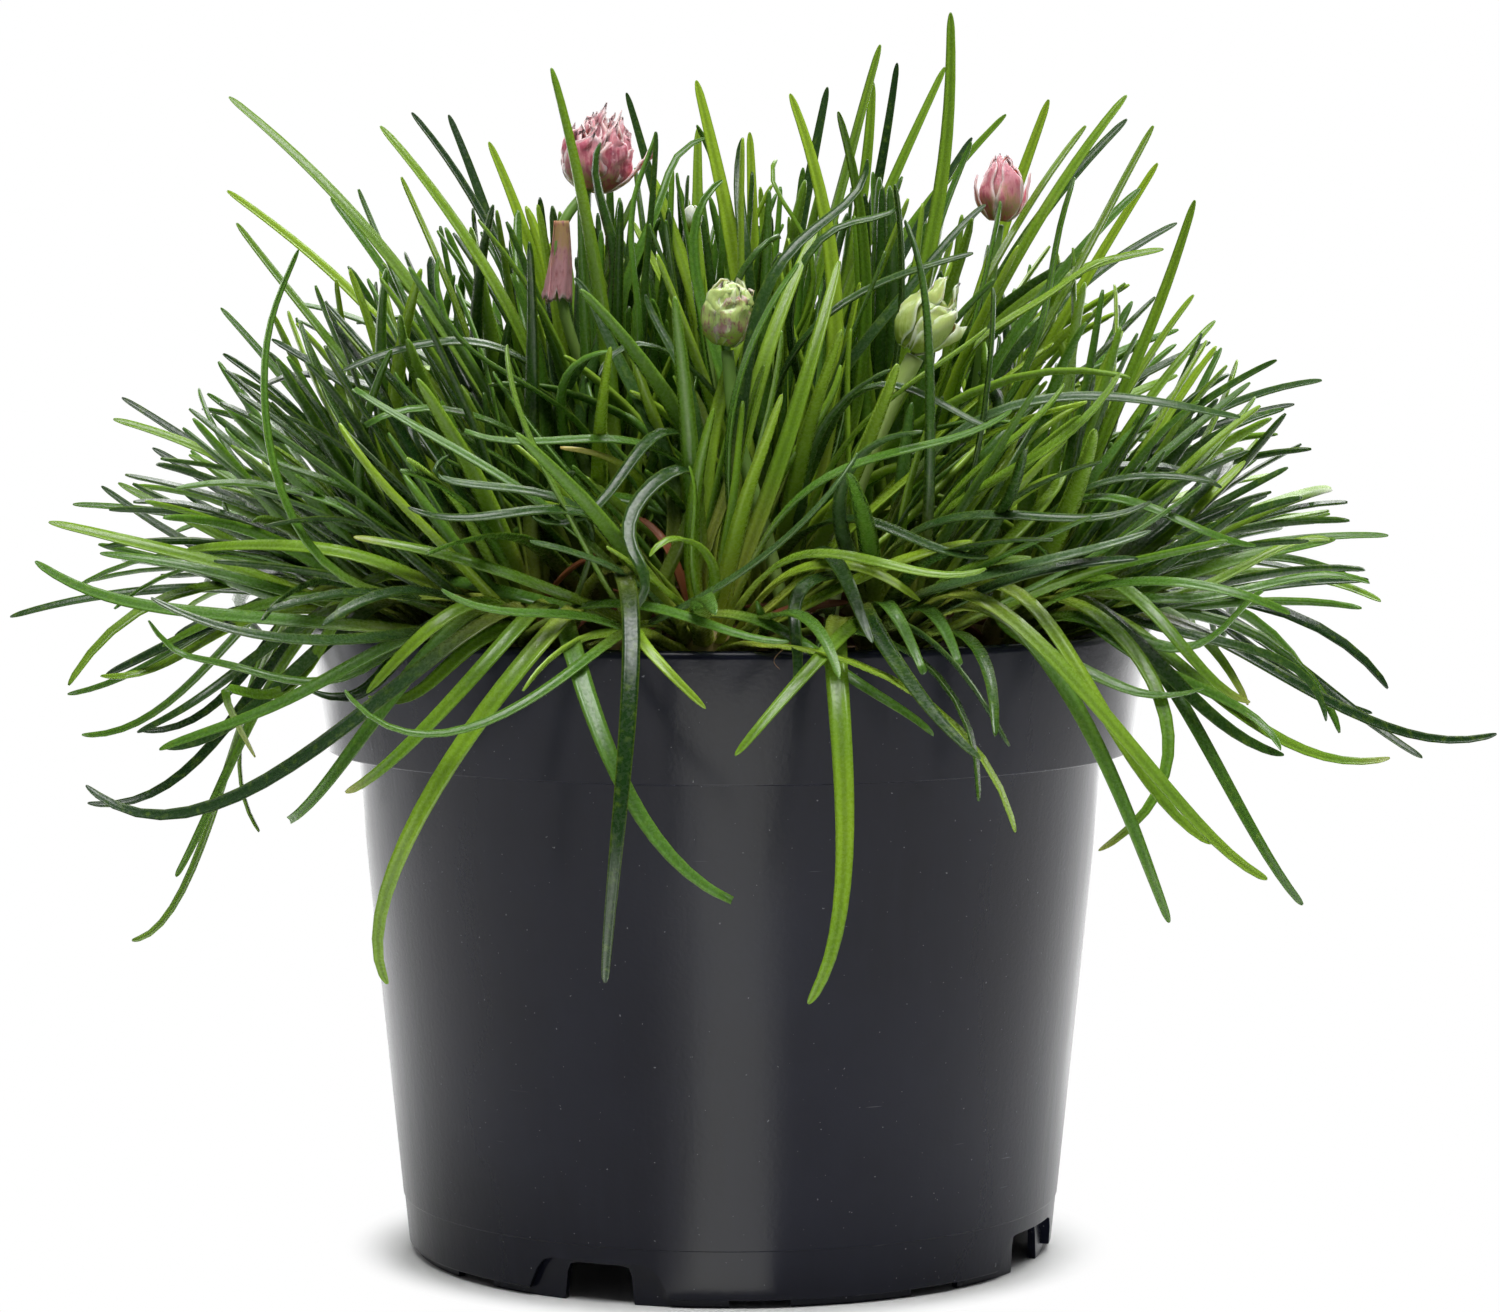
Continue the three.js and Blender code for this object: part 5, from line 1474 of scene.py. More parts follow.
def pot_finish(settings):
    """Dark moulded plastic: a soft sheen, faint upright flow marks, dust specks and fine scratches."""
    made = Finish("pot_plastic")
    plastic, worn, dust = colours(settings, "colour", "worn_colour", "dust_colour")
    flow = made.spots(1, 3, 0.6, made.stretched(260, 260, 9))
    clouds = made.spots(28, 4)
    grain = made.spots(1500, 2)
    specks = made.ramp(made.spots(1900, 1), 0.78, 0.8)
    lines = made.spots(1, 2, 0.6, made.stretched(60, 60, 1300))
    scratches = made.ramp(lines, 0.735, 0.77) * made.ramp(clouds, 0.52, 0.6)
    colour = made.layered(
        plastic,
        (made.ramp(clouds, 0.3, 0.75), worn),
        (made.ramp(flow, 0.45, 0.8) * 0.4, worn),
        (specks * 0.5 + scratches * 0.25, dust),
    )
    rough = 0.14 + 0.08 * clouds + 0.1 * flow + 0.25 * specks
    bump = made.bumps(flow, 0.00012, 0.25, made.bumps(grain, 0.00006, 0.35))
    return made.shade(Base_Color=colour, Roughness=rough, Normal=bump, Specular_IOR_Level=0.2)


def compost_finish(settings):
    """Dark peat compost with paler fibres."""
    made = Finish("compost")
    peat, crumb, fibre = colours(settings, "colour", "crumb_colour", "fibre_colour")
    crumbs = made.spots(420, 6, 0.65)
    fibres = made.ramp(made.spots(1, 3, 0.5, made.stretched(900, 220, 600)), 0.6, 0.75)
    colour = made.layered(peat, (made.ramp(crumbs, 0.35, 0.7), crumb), (fibres * 0.5, fibre))
    bump = made.bumps(crumbs, 0.0012, 0.9)
    return made.shade(Base_Color=colour, Roughness=0.75 + 0.2 * crumbs, Normal=bump, Specular_IOR_Level=0.2)


def stalk_finish(name, low_colour, high_colour):
    """A smooth flower stalk, finely ribbed and downy, that pales downwards."""
    made = Finish(name)
    along = made.value("along")
    ribs = made.spots(1, 2, 0.5, made.stretched(2200, 2200, 60))
    colour = made.blend(made.ramp(along + (ribs - 0.5) * 0.2, 0.1, 0.8), low_colour, high_colour)
    bump = made.bumps(ribs, 0.0001, 0.4)
    return made.shade(
        Base_Color=colour,
        Roughness=0.36 + 0.15 * ribs,
        Normal=bump,
        Subsurface_Weight=0.2,
        Subsurface_Radius=(0.6, 1.0, 0.3),
        Subsurface_Scale=0.0015,
    )


def bract_finish(name, foot, heart, flush, margin, flushing=0.5, rough=0.36, margin_share=0.8):
    """A papery bract: one colour at its foot and one at its heart, flushed in patches, with pale margins."""
    made = Finish(name)
    along, edge, tint = (made.value(value) for value in ("along", "edge", "tint"))
    blotches = made.spots(480, 3, 0.6)
    veins = made.spots(1, 2, 0.6, made.stretched(2400, 2400, 260))
    uneven = (blotches - 0.5) * 1.3
    colour = made.layered(
        foot,
        (made.ramp(along + uneven * 0.7 + (veins - 0.5) * 0.6, 0.1, 0.6), heart),
        (made.ramp(tint + uneven + (veins - 0.5) * 0.9, 0.4, 0.8) * flushing, flush),
        (made.ramp(edge + uneven * 0.5, 0.45, 0.95) * margin_share, margin),
    )
    return made.shade(
        Base_Color=colour,
        Roughness=rough + 0.2 * blotches,
        Normal=made.bumps(veins + blotches * 0.8, 0.00015, 0.5),
        Subsurface_Weight=0.35,
        Subsurface_Radius=(1.0, 0.6, 0.5),
        Subsurface_Scale=0.0015,
    )


def root_finish(settings):
    """Thin brown roots."""
    made = Finish("fine_roots")
    brown, pale = colours(settings, "root_colour", "fibre_colour")
    blotches = made.spots(700, 2)
    colour = made.blend(made.ramp(blotches, 0.3, 0.7), brown, pale)
    bump = made.bumps(blotches, 0.0002, 0.5)
    return made.shade(Base_Color=colour, Roughness=0.6 + 0.2 * blotches, Normal=bump)


def floor_finish():
    """A plain pale floor that shades near the pot's foot and is plain white to the camera farther out."""
    made = Finish("pale_floor")
    clouds = made.spots(2, 2)
    colour = made.blend(clouds, (0.86, 0.86, 0.86, 1), (0.9, 0.9, 0.9, 1))
    sockets = {"Base Color": colour, "Roughness": 0.8, "Specular IOR Level": 0.2}
    shaded = made.node("ShaderNodeBsdfPrincipled", None, sockets)
    white = made.node("ShaderNodeEmission", None, {"Color": (1, 1, 1, 1), "Strength": 1.0})
    reach = made.node("ShaderNodeVectorMath", {"operation": "LENGTH"}, {0: made.place}, 1)
    camera = made.node("ShaderNodeLightPath", out="Is Camera Ray")
    share = camera * made.ramp(reach, 0.05, 0.06)
    mixed = made.node("ShaderNodeMixShader", None, {0: share, 1: shaded, 2: white})
    made.node("ShaderNodeOutputMaterial", None, {"Surface": mixed})
    return made.owner


def card_finish(power):
    """The glow of the card that the pot mirrors."""
    made = Finish("glowing_card")
    warm = made.blend(made.value("glow"), (0.35, 0.35, 0.35, 1), (1, 1, 0.93, 1))
    return made.shade(Base_Color=(0, 0, 0, 1), Emission_Color=warm, Emission_Strength=power)


def tuft_mesh(crown, draw):
    """One tuft: its crown and every leaf that grows from it."""
    shape = Shape("along", "edge", "fresh", "dry", "bloom", "under")
    rows = 1 + math.ceil(len(crown["grown"]) / 2)
    add_crown(shape, crown, rows)
    for i, leaf in enumerate(crown["grown"]):
        add_leaf(shape, leaf, crown, draw, (i % 2, 1 + i // 2, rows))
    return shape.mesh(f"tuft_{crown['name']}")


# The pot


def softened(outline):
    """An outline of radius, height and rounding, with each corner rounded as far as it says."""
    corners = np.array([corner[:2] for corner in outline], float)
    line = []
    for i, (_, _, rounding) in enumerate(outline):
        if rounding == 0:
            line.append(corners[i])
            continue
        start = corners[i] + unit(corners[i - 1] - corners[i]) * rounding
        end = corners[i] + unit(corners[(i + 1) % len(outline)] - corners[i]) * rounding
        for share in (0, 0.25, 0.5, 0.75, 1):
            line.append(start * (1 - share) ** 2 + corners[i] * 2 * share * (1 - share) + end * share**2)
    return np.array(line)


def turned(outline, sides):
    """A closed turned body from its outline, which begins and ends on the axis at the height beside it."""
    turns = circle(sides)
    ring = np.stack([np.cos(turns), np.sin(turns)], axis=-1)
    return tube(np.array([np.column_stack([r * ring, np.full(sides, z)]) for r, z in outline[1:-1]]))


def foot_block(sizes, inner, outer, bearing):
    """A block through the pot's foot at a bearing, between two radii, with rounded upper corners."""
    foot, top, height, corner = (sizes[name] for name in ("foot", "top", "height", "corner"))
    lean = (foot - top) / 2 / height
    side = [(foot / 2 + lean, -1.0), (top / 2 + lean * corner, height - corner)]
    side += [(top / 2 - corner * 0.2, height - corner * 0.2), (top / 2 - corner, height)]
    outline = side + [(-x, z) for x, z in reversed(side)]
    turn = math.radians(bearing)
    cos, sin = math.cos(turn), math.sin(turn)
    vertices = [
        [x * cos + reach * sin, x * sin - reach * cos, z] for reach in (inner, outer) for x, z in outline
    ]
    count = len(outline)
    faces = [list(range(count)), list(range(2 * count - 1, count - 1, -1))]
    faces += [[i, i + count, (i + 1) % count + count, (i + 1) % count] for i in range(count)]
    return vertices, faces


def plain_mesh(name, bodies):
    """A mesh of several bodies, whose faces all look outwards."""
    shape = Shape()
    for vertices, faces in bodies:
        shape.add(vertices, faces)
    mesh = shape.mesh(name)
    sorted_out = bmesh.new()
    sorted_out.from_mesh(mesh)
    bmesh.ops.recalc_face_normals(sorted_out, faces=sorted_out.faces)
    sorted_out.to_mesh(mesh)
    sorted_out.free()
    return mesh


def cut_away(mesh, cutter):
    """The mesh without the space that the cutter takes."""
    whole = fresh_object("whole", mesh)
    away = fresh_object("away", cutter)
    cut = whole.modifiers.new("cut", "BOOLEAN")
    cut.operation = "DIFFERENCE"
    cut.solver = "EXACT"
    cut.object = away
    bpy.context.view_layer.update()
    seen = whole.evaluated_get(bpy.context.evaluated_depsgraph_get())
    made = bpy.data.meshes.new_from_object(seen)
    bpy.data.objects.remove(whole)
    bpy.data.objects.remove(away)
    return made


def post(radius, low, high, x, y, sides=POST_SIDES):
    """A round post that stands at a place."""
    vertices, faces = turned([(0, low), (radius, low), (radius, high), (0, high)], sides)
    return vertices + [x, y, 0], faces


def pot_mesh(settings):
    """The pot: turned, with notches and gaps cut through its foot and drain holes through its floor."""
    rim, tall = settings.rim_radius / MM, settings.height / MM
    wall_top = rim - WALL - 0.1
    outline = [
        (0, FLOOR_UNDERSIDE, 0),
        (FOOT_RING_RADIUS - WALL, FLOOR_UNDERSIDE, 0),
        (FOOT_RING_RADIUS - WALL, 0, 0.25),
        (FOOT_RING_RADIUS, 0, 0.25),
        (FOOT_RING_RADIUS, FOOT_STEP_HEIGHT, 0),
        (BODY_FOOT_RADIUS, FOOT_STEP_HEIGHT, 0.35),
        *FOOT_FLARE,
        (BODY_TOP_RADIUS, BAND_FOOT_HEIGHT - 0.2, 0.4),
        (BAND_FOOT_RADIUS, BAND_FOOT_HEIGHT, 0.3),
        (rim, tall - 0.7, 0.55),
        (rim - 0.55, tall, 0.4),
        (wall_top + 0.3, tall, 0.3),
        (wall_top, tall - 0.7, 0.3),
        (BAND_FOOT_RADIUS - WALL, BAND_FOOT_HEIGHT + WALL, 0.4),
        (BODY_TOP_RADIUS - WALL - 0.1, BAND_FOOT_HEIGHT + WALL, 0.4),
        (BODY_FOOT_RADIUS - WALL - 0.2, FLOOR_TOP, 0.8),
        (0, FLOOR_TOP, 0),
    ]
    body = plain_mesh("pot_body", [turned(softened(outline), POT_SIDES)])
    recesses, ways = [], []
    for i in range(NOTCH_COUNT):
        bearing = NOTCH_BEARING + 360 / NOTCH_COUNT * i
        recesses.append(foot_block(NOTCH, *RECESS_REACH, bearing))
        ways.append(foot_block(RING_NOTCH, *RECESS_REACH, bearing))
        between_notches = bearing - 180 / NOTCH_COUNT
        for side in (-1, 1):
            gap_bearing = between_notches + side * RING_GAP_OFFSET
            ways.append(foot_block(RING_GAP, *RING_GAP_REACH, gap_bearing))
    for i in range(DRAIN_HOLES):
        turn = 2 * math.pi / DRAIN_HOLES * (i + 0.5)
        x, y = DRAIN_HOLE_REACH * math.cos(turn), DRAIN_HOLE_REACH * math.sin(turn)
        ways.append(post(DRAIN_HOLE_RADIUS, FLOOR_UNDERSIDE - 1, FLOOR_TOP + 1, x, y))
    core = plain_mesh("ring_core", [post(FOOT_RING_RADIUS, -5, 20, 0, 0, POT_SIDES)])
    recess = cut_away(plain_mesh("recesses", recesses), core)
    made = cut_away(cut_away(body, recess), plain_mesh("ways", ways))
    soft = bmesh.new()
    soft.from_mesh(made)
    bmesh.ops.remove_doubles(soft, verts=soft.verts, dist=0.00001)
    for edge in soft.edges:
        edge.smooth = len(edge.link_faces) == 2 and edge.calc_face_angle(0) < SHARP_EDGE
    for face in soft.faces:
        face.smooth = True
    soft.to_mesh(made)
    soft.free()
    made.name = "nursery_pot"
    return made


# The compost


def unevenness(x, y):
    """How far the compost swells above its level at a place."""
    return 0.6 * math.sin(x / 6.1) + 0.5 * math.cos(y / 5.3 + x / 9)


def crumbled(x, y):
    """How far the crumbs of the compost stand above its even surface at a place."""
    place = Vector((x, y, 0.0))
    broad = noise.noise(place * BROAD_LUMPS["scale"])
    fine = noise.noise(place * FINE_LUMPS["scale"] + Vector((9, 4, 1)))
    return BROAD_LUMPS["height"] * broad + FINE_LUMPS["height"] * abs(fine)


def compost_mesh():
    """The compost: it fills the pot with a small gap all round, and its top is lumpy."""
    flare = RIM_RADIUS - BAND_FOOT_RADIUS
    band_height = POT_HEIGHT - BAND_FOOT_HEIGHT - WALL
    wall_at_top = BAND_FOOT_RADIUS - WALL + flare * (SOIL_TOP - BAND_FOOT_HEIGHT - WALL) / band_height
    outline = [
        (0, FLOOR_TOP + COMPOST_GAP),
        (BODY_FOOT_RADIUS - WALL - 0.5, FLOOR_TOP + COMPOST_GAP),
        (BODY_TOP_RADIUS - WALL - 0.4, BAND_FOOT_HEIGHT + WALL + COMPOST_GAP),
        (BAND_FOOT_RADIUS - WALL - COMPOST_GAP, BAND_FOOT_HEIGHT + WALL + COMPOST_GAP),
        (wall_at_top - 0.5, SOIL_TOP - COMPOST_EDGE),
    ]
    outline += [(radius, SOIL_TOP) for radius in np.linspace(wall_at_top - COMPOST_EDGE, 1.0, COMPOST_RINGS)]
    outline.append((0, SOIL_TOP))
    vertices, faces = turned(outline, COMPOST_SIDES)
    for vertex in vertices:
        if vertex[2] > SOIL_TOP - COMPOST_EDGE / 2:
            x, y = vertex[:2]
            vertex[2] += unevenness(x, y) + crumbled(x, y) - LUMP_SINK
    return plain_mesh("compost_fill", [(vertices, faces)])


def ball(subdivisions):
    """The corners and faces of a ball of radius 1."""
    made = bmesh.new()
    bmesh.ops.create_icosphere(made, subdivisions=subdivisions, radius=1)
    corners = [vertex.co.copy() for vertex in made.verts]
    faces = [[vertex.index for vertex in face.verts] for face in made.faces]
    made.free()
    return corners, faces


def crumb(centre, size, turn):
    """One lump of bark or peat: a ball pushed in and out by noise."""
    corners, faces = ball(2)
    vertices = []
    for corner in corners:
        place = corner * (1 + CRUMB_BUMPS * noise.noise(corner * 1.7 + Vector((turn * 7, turn, 3))))
        place = Vector(place[i] * CRUMB_SHAPE[i] for i in range(3))
        place.rotate(Vector((math.cos(turn), math.sin(turn), 0.4)).to_track_quat("X", "Z"))
        vertices.append(list(np.array(centre) + np.array(place) * size))
    return vertices, faces


def crumbs_mesh(count):
    """Loose crumbs, strewn over the compost."""
    draw = seeded_draws(CRUMB_SEED)
    shape = Shape()
    for _ in range(count):
        turn = 2 * math.pi * draw()
        reach = CRUMB_REACH * math.sqrt(draw())
        x, y = reach * math.cos(turn), reach * math.sin(turn)
        size = CRUMB_SIZES[0] + CRUMB_SIZES[1] * draw() ** 2
        height = SOIL_TOP + unevenness(x, y) + crumbled(x, y) + CRUMB_LIFT * size
        shape.add(*crumb((x, y, height), size, 6 * draw()))
    return shape.mesh("compost_crumbs")


def roots_mesh():
    """Fine roots that wander over the rim and thin towards their tips."""
    shape = Shape()
    for i, points in enumerate(ROOTS):
        line = smooth_route(points, ROOT_STEPS)
        aside = Vector((i, 0, 0))
        wander = [list(noise.noise_vector(Vector(place) * 0.5 + aside) * ROOT_WANDER) for place in line]
        radii = ROOT_RADIUS * (1 - ROOT_THINNING * np.linspace(0, 1, len(line)))
        shape.add(*tube(cord_rings(line + np.array(wander), radii, ROOT_SIDES)))
    return shape.mesh("fine_roots")


# Flower stalks and heads


def stalk_mesh(name):
    """The stalk of a flower, a little thinner at its head."""
    flower = FLOWERS[name]
    line = smooth_route(flower["route"], STALK_STEPS)
    shares = np.linspace(0, 1, len(line))
    radii = flower["radius"] * (1 - STALK_THINNING * shares)
    vertices, faces = tube(cord_rings(line, radii, STALK_SIDES))
    shape = Shape("along")
    shape.add(vertices, faces, along=np.concatenate([np.repeat(shares, STALK_SIDES), [0, 1]]))
    return shape.mesh(f"stalk_of_{name}")


def sheet_body(grid, thickness):
    """A thin closed sheet about a grid of points: rows along it and columns across it."""
    along = np.gradient(grid, axis=0)
    across = np.gradient(grid, axis=1)
    out = unit(np.cross(across, along) + 1e-9)
    rows, columns = grid.shape[:2]
    front, back = grid + out * thickness / 2, grid - out * thickness / 2
    vertices = np.concatenate([front.reshape(-1, 3), back.reshape(-1, 3)])
    under = rows * columns
    faces = []
    for r in range(rows - 1):
        for c in range(columns - 1):
            a = r * columns + c
            faces.append([a, a + 1, a + columns + 1, a + columns])
            faces.append([a + under, a + columns + under, a + columns + 1 + under, a + 1 + under])
    border = list(range(columns)) + [r * columns + columns - 1 for r in range(1, rows)]
    border += [(rows - 1) * columns + c for c in range(columns - 2, -1, -1)]
    border += [r * columns for r in range(rows - 2, 0, -1)]
    for a, b in zip(border, border[1:] + border[:1]):
        faces.append([b, a, a + under, b + under])
    return vertices, faces


def bract_grid(flower, turn, form, seed):
    """One bract as a grid of points: it springs from the head's foot, and hugs its side or stands off."""
    across, tall = flower["core"]
    rows, columns = BRACT_GRID
    v = np.linspace(0, 1, rows)[:, None]
    u = np.linspace(-1, 1, columns)[None, :]
    climb = v * (form["close"] - BRACT_FOOT) + BRACT_FOOT
    shape = np.sin(math.pi * np.clip(0.16 + 0.84 * v, 0, 1) ** form["blunt"]) ** 0.55
    spread = form["width"] * np.maximum(shape, 0.03) * (0.55 + 0.45 * np.minimum(v / 0.35, 1))
    bulge = form["layer"]
    radius = across * np.cos(climb) * bulge + form["open"] * across * v**2
    height = tall * np.sin(climb) * (0.96 + 0.04 * bulge) + form["rise"] * tall * v**2
    angle = turn + spread * u / np.maximum(np.cos(climb) * 0.6 + 0.4, 0.3)
    tuck = 1 - form["cup"] * (u**2) * v
    grid = np.empty((rows, columns, 3))
    grid[..., 0] = radius * tuck * np.cos(angle)
    grid[..., 1] = radius * tuck * np.sin(angle)
    grid[..., 2] = height + 0 * u
    for r in range(rows):
        for c in range(columns):
            share = r / (rows - 1)
            place = Vector(grid[r, c]) * form["crumple_scale"] + Vector((seed * 3.1, seed, 5))
            wander = noise.noise_vector(place) + noise.noise_vector(place * 2.3) * 0.3
            grid[r, c] += np.array(wander) * form["crumple"] * (0.15 + share**1.5)
            tooth = noise.noise(Vector((c * 0.9, seed * 2.7, 1)))
            grid[r, c, 2] += form["ragged"] * tooth * max(share - 0.7, 0) / 0.3
    return grid


def head_mesh(name):
    """A flower head: a full core with its whorls of bracts round it."""
    flower, head = FLOWERS[name], HEADS[name]
    across, tall = flower["core"]
    thickness = BRACT_THICKNESS / 2 if across < SMALL_HEAD else BRACT_THICKNESS
    shape = Shape("along", "edge", "tint")
    corners, faces = ball(3)
    core = np.array(corners) * np.multiply([across, across, tall], CORE_SHARES)
    shape.add(core, faces, **CORE_TONE)
    seed = len(name)
    for count, first, tint, changes in head["whorls"]:
        form = {**HUGGING, **changes}
        for i in range(count):
            seed += 1
            grid = bract_grid(flower, first + 2 * math.pi * i / count, form, seed)
            rows, columns = grid.shape[:2]
            vertices, faces = sheet_body(grid, thickness)
            along = np.tile(np.repeat(np.linspace(0, 1, rows), columns), 2)
            sides = np.abs(np.linspace(-1, 1, columns))[None] ** 2 * np.ones((rows, 1))
            tops = (np.linspace(0, 1, rows)[:, None] ** 6) * np.ones((1, columns))
            edge = np.tile(np.maximum(sides, tops).ravel(), 2)
            shape.add(vertices, faces, along=along, edge=edge, tint=tint)
    degrees, towards = head["lean"]
    hinge = Vector((-math.sin(towards), math.cos(towards), 0))
    turn = np.array(Matrix.Rotation(math.radians(degrees), 3, hinge))
    shape.vertices = [part @ turn.T + flower["centre"] for part in shape.vertices]
    return shape.mesh(f"head_of_{name}")


def sheath_mesh():
    """The dry sheath under the open head: a thin rolled sleeve, narrow at the top and torn at the foot."""
    rows, columns = SHEATH_GRID
    share = np.linspace(0, 1, rows)[:, None]
    round_it = np.linspace(0, 1, columns)[None, :]
    turn = SHEATH_WRAP * (round_it - 0.5) + SHEATH_TWIST * share
    narrow = SHEATH["top_radius"] - 0.75
    wide = SHEATH["bottom_radius"] - 0.35
    radius = narrow + (wide - narrow) * share**1.2 + (0.16 * np.sin(7 * turn + 4 * share) + 0.1) * share
    radius = radius + 0.2 * (round_it - 0.5)
    grid = np.empty((rows, columns, 3))
    grid[..., 0] = SHEATH["x"] + radius * np.cos(turn) - 0.7 * share**2
    grid[..., 1] = SHEATH["y"] + radius * np.sin(turn) * 0.9
    grid[..., 2] = SHEATH["top"] + (SHEATH["bottom"] - SHEATH["top"]) * share
    for c in range(columns):
        tear = 2.4 * noise.noise(Vector((c * 0.33, 3, 7))) + 1.4 * noise.noise(Vector((c * 1.1, 8, 2)))
        grid[:, c, 2] += tear * share[:, 0] ** 3
    vertices, faces = sheet_body(grid, SHEATH_THICKNESS)
    shape = Shape("along", "edge", "tint")
    along = np.tile(np.repeat(share[:, 0], columns), 2)
    shape.add(vertices, faces, along=along, edge=0.7 * along**6, tint=0.4)
    return shape.mesh("papery_sheath")


# Sizes and colours that can be changed


def length_setting(name, description, metres):
    return FloatProperty(name=name, description=description, default=metres, min=0.001, unit="LENGTH")


def colour_setting(name, description, code):
    about = f"Colour of {description}"
    return FloatVectorProperty(
        name=name, description=about, subtype="COLOR", size=4, min=0, max=1, default=linear(code)
    )


def count_setting(name, description, count):
    return IntProperty(name=name, description=description, default=count, min=0, max=400)


def power_setting(name, description, watts):
    return FloatProperty(name=name, description=description, default=watts, min=0, unit="POWER")


class PotSettings(PropertyGroup):
    """Sizes and colours of the nursery pot."""

    rim_radius: length_setting("Rim radius", "Radius of the pot at its rim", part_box("pot")[1].x)
    height: length_setting("Height", "Height of the pot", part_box("pot")[1].z)
    colour: colour_setting("Plastic", "the moulded plastic", "0f101b")
    worn_colour: colour_setting("Worn plastic", "the plastic where it is scuffed", "181a27")
    dust_colour: colour_setting("Dust", "the dust and the fine scratches", "8c8d92")


class CompostSettings(PropertyGroup):
    """The compost, its crumbs and the fine roots in it."""

    crumbs: count_setting("Crumbs", "How many loose crumbs lie on the compost", 190)
    colour: colour_setting("Peat", "the dark peat", "1d130d")
    crumb_colour: colour_setting("Crumb", "the paler crumbs", "4a3423")
    fibre_colour: colour_setting("Fibre", "the fibres in the peat", "7d6042")
    root_colour: colour_setting("Root", "the fine roots", "6b4a33")


class LeafSettings(PropertyGroup):
    """How thick the cushion is, and the colours of its leaves."""

    outer_extra: count_setting("Outer leaves", "Leaves added to each outer tuft", 52)
    inner_extra: count_setting("Inner leaves", "Leaves added to each inner tuft", 60)
    middle_extra: count_setting("Middle leaves", "Leaves added to the middle tuft", 70)
    deep_green: colour_setting("Deep green", "the older, lower leaves", "18340f")
    mid_green: colour_setting("Green", "most leaves", "4f7a22")
    # Fresh green is also the painted highlight along the leaf margins
    fresh_green: colour_setting("Fresh green", "the young leaves and the leaf margins", "93b42e")
    bloom: colour_setting("Bloom", "the greyish bloom on some leaves", "728f6c")
    root_yellow: colour_setting("Leaf base", "the leaves near their base", "c9d05e")
    root_blush: colour_setting("Base blush", "the very base of the leaves", "a07a5e")
    dry_straw: colour_setting("Straw", "dry leaf tips", "d0bd6e")
    dry_orange: colour_setting("Orange", "the very end of a dry tip", "c8703a")
    dry_brown: colour_setting("Brown", "dead leaves", "74452f")


class FlowerSettings(PropertyGroup):
    """Colours of the stalks and the flower heads."""

    stalk_low: colour_setting("Stalk foot", "a stalk near its foot", "a9bf6a")
    stalk_high: colour_setting("Stalk top", "a stalk near its head", "6f9440")
    pale_stalk_low: colour_setting("Pale stalk foot", "the pale stalk near its foot", "c5d593")
    pale_stalk_high: colour_setting("Pale stalk top", "the pale stalk near its head", "a9c06c")
    bract_foot: colour_setting("Bract foot", "the foot of the pink bracts", "a08a4c")
    pink: colour_setting("Pink", "the pink bracts", "d98d97")
    maroon: colour_setting("Maroon", "the flushed parts of the pink bracts", "b2425f")
    papery: colour_setting("Papery margin", "the thin margins of the bracts", "f4e6e2")
    bract_green: colour_setting("Bract green", "the green bracts", "8ea63e")
    bract_purple: colour_setting("Bract purple", "the dark patches of the green bracts", "8c4b58")
    pale_green: colour_setting("Pale green", "the pale, nearly clear bracts", "b9ca78")
    young_white: colour_setting("Young white", "the tip of the youngest bud", "eef0de")
    sheath_tan: colour_setting("Sheath top", "the sheath where it is narrow", "b08a5c")
    sheath_pink: colour_setting("Sheath", "the dry sheath", "c0868c")
    sheath_brown: colour_setting("Sheath veins", "the sheath's veins", "8a4a50")


class StageSettings(PropertyGroup):
    """The floor, the lights and the lens."""

    floor_radius: length_setting("Floor", "Radius of the pale floor", 0.5)
    lens: FloatProperty(
        name="Lens",
        description="Focal length of the camera",
        default=112.3,
        min=10,
        subtype="DISTANCE_CAMERA",
    )
    key_power: power_setting("Key light", "Power of the large soft light above and in front", 20.0)
    back_power: power_setting("Back light", "Power of the soft light above and behind", 9.0)
    card_glow: FloatProperty(name="Card", description="Glow of the mirrored card", default=3.6, min=0)
    surround: FloatProperty(name="Surround", description="Strength of the even light", default=1.2, min=0)


SETTINGS = {
    "thrift_pot": PotSettings,
    "thrift_compost": CompostSettings,
    "thrift_leaves": LeafSettings,
    "thrift_flowers": FlowerSettings,
    "thrift_stage": StageSettings,
}


# The pieces, one operator each


class BuildPot(Operator):
    """Turns the pot, cuts its foot and gives it its plastic"""

    bl_idname = "thrift.pot"
    bl_label = "Pot"

    def execute(self, context):
        settings = context.scene.thrift_pot
        settle("nursery_pot", pot_mesh(settings), pot_finish(settings), "pot_plastic", "pot")
        return {"FINISHED"}


class BuildCompost(Operator):
    """Fills the pot with compost, with crumbs on it and fine roots over the rim"""

    bl_idname = "thrift.compost"
    bl_label = "Compost"

    def execute(self, context):
        settings = context.scene.thrift_compost
        finish = compost_finish(settings)
        settle("compost_fill", compost_mesh(), finish, "compost", "compost")
        settle("compost_crumbs", crumbs_mesh(settings.crumbs), finish, "compost")
        settle("fine_roots", roots_mesh(), root_finish(settings), "compost")
        return {"FINISHED"}


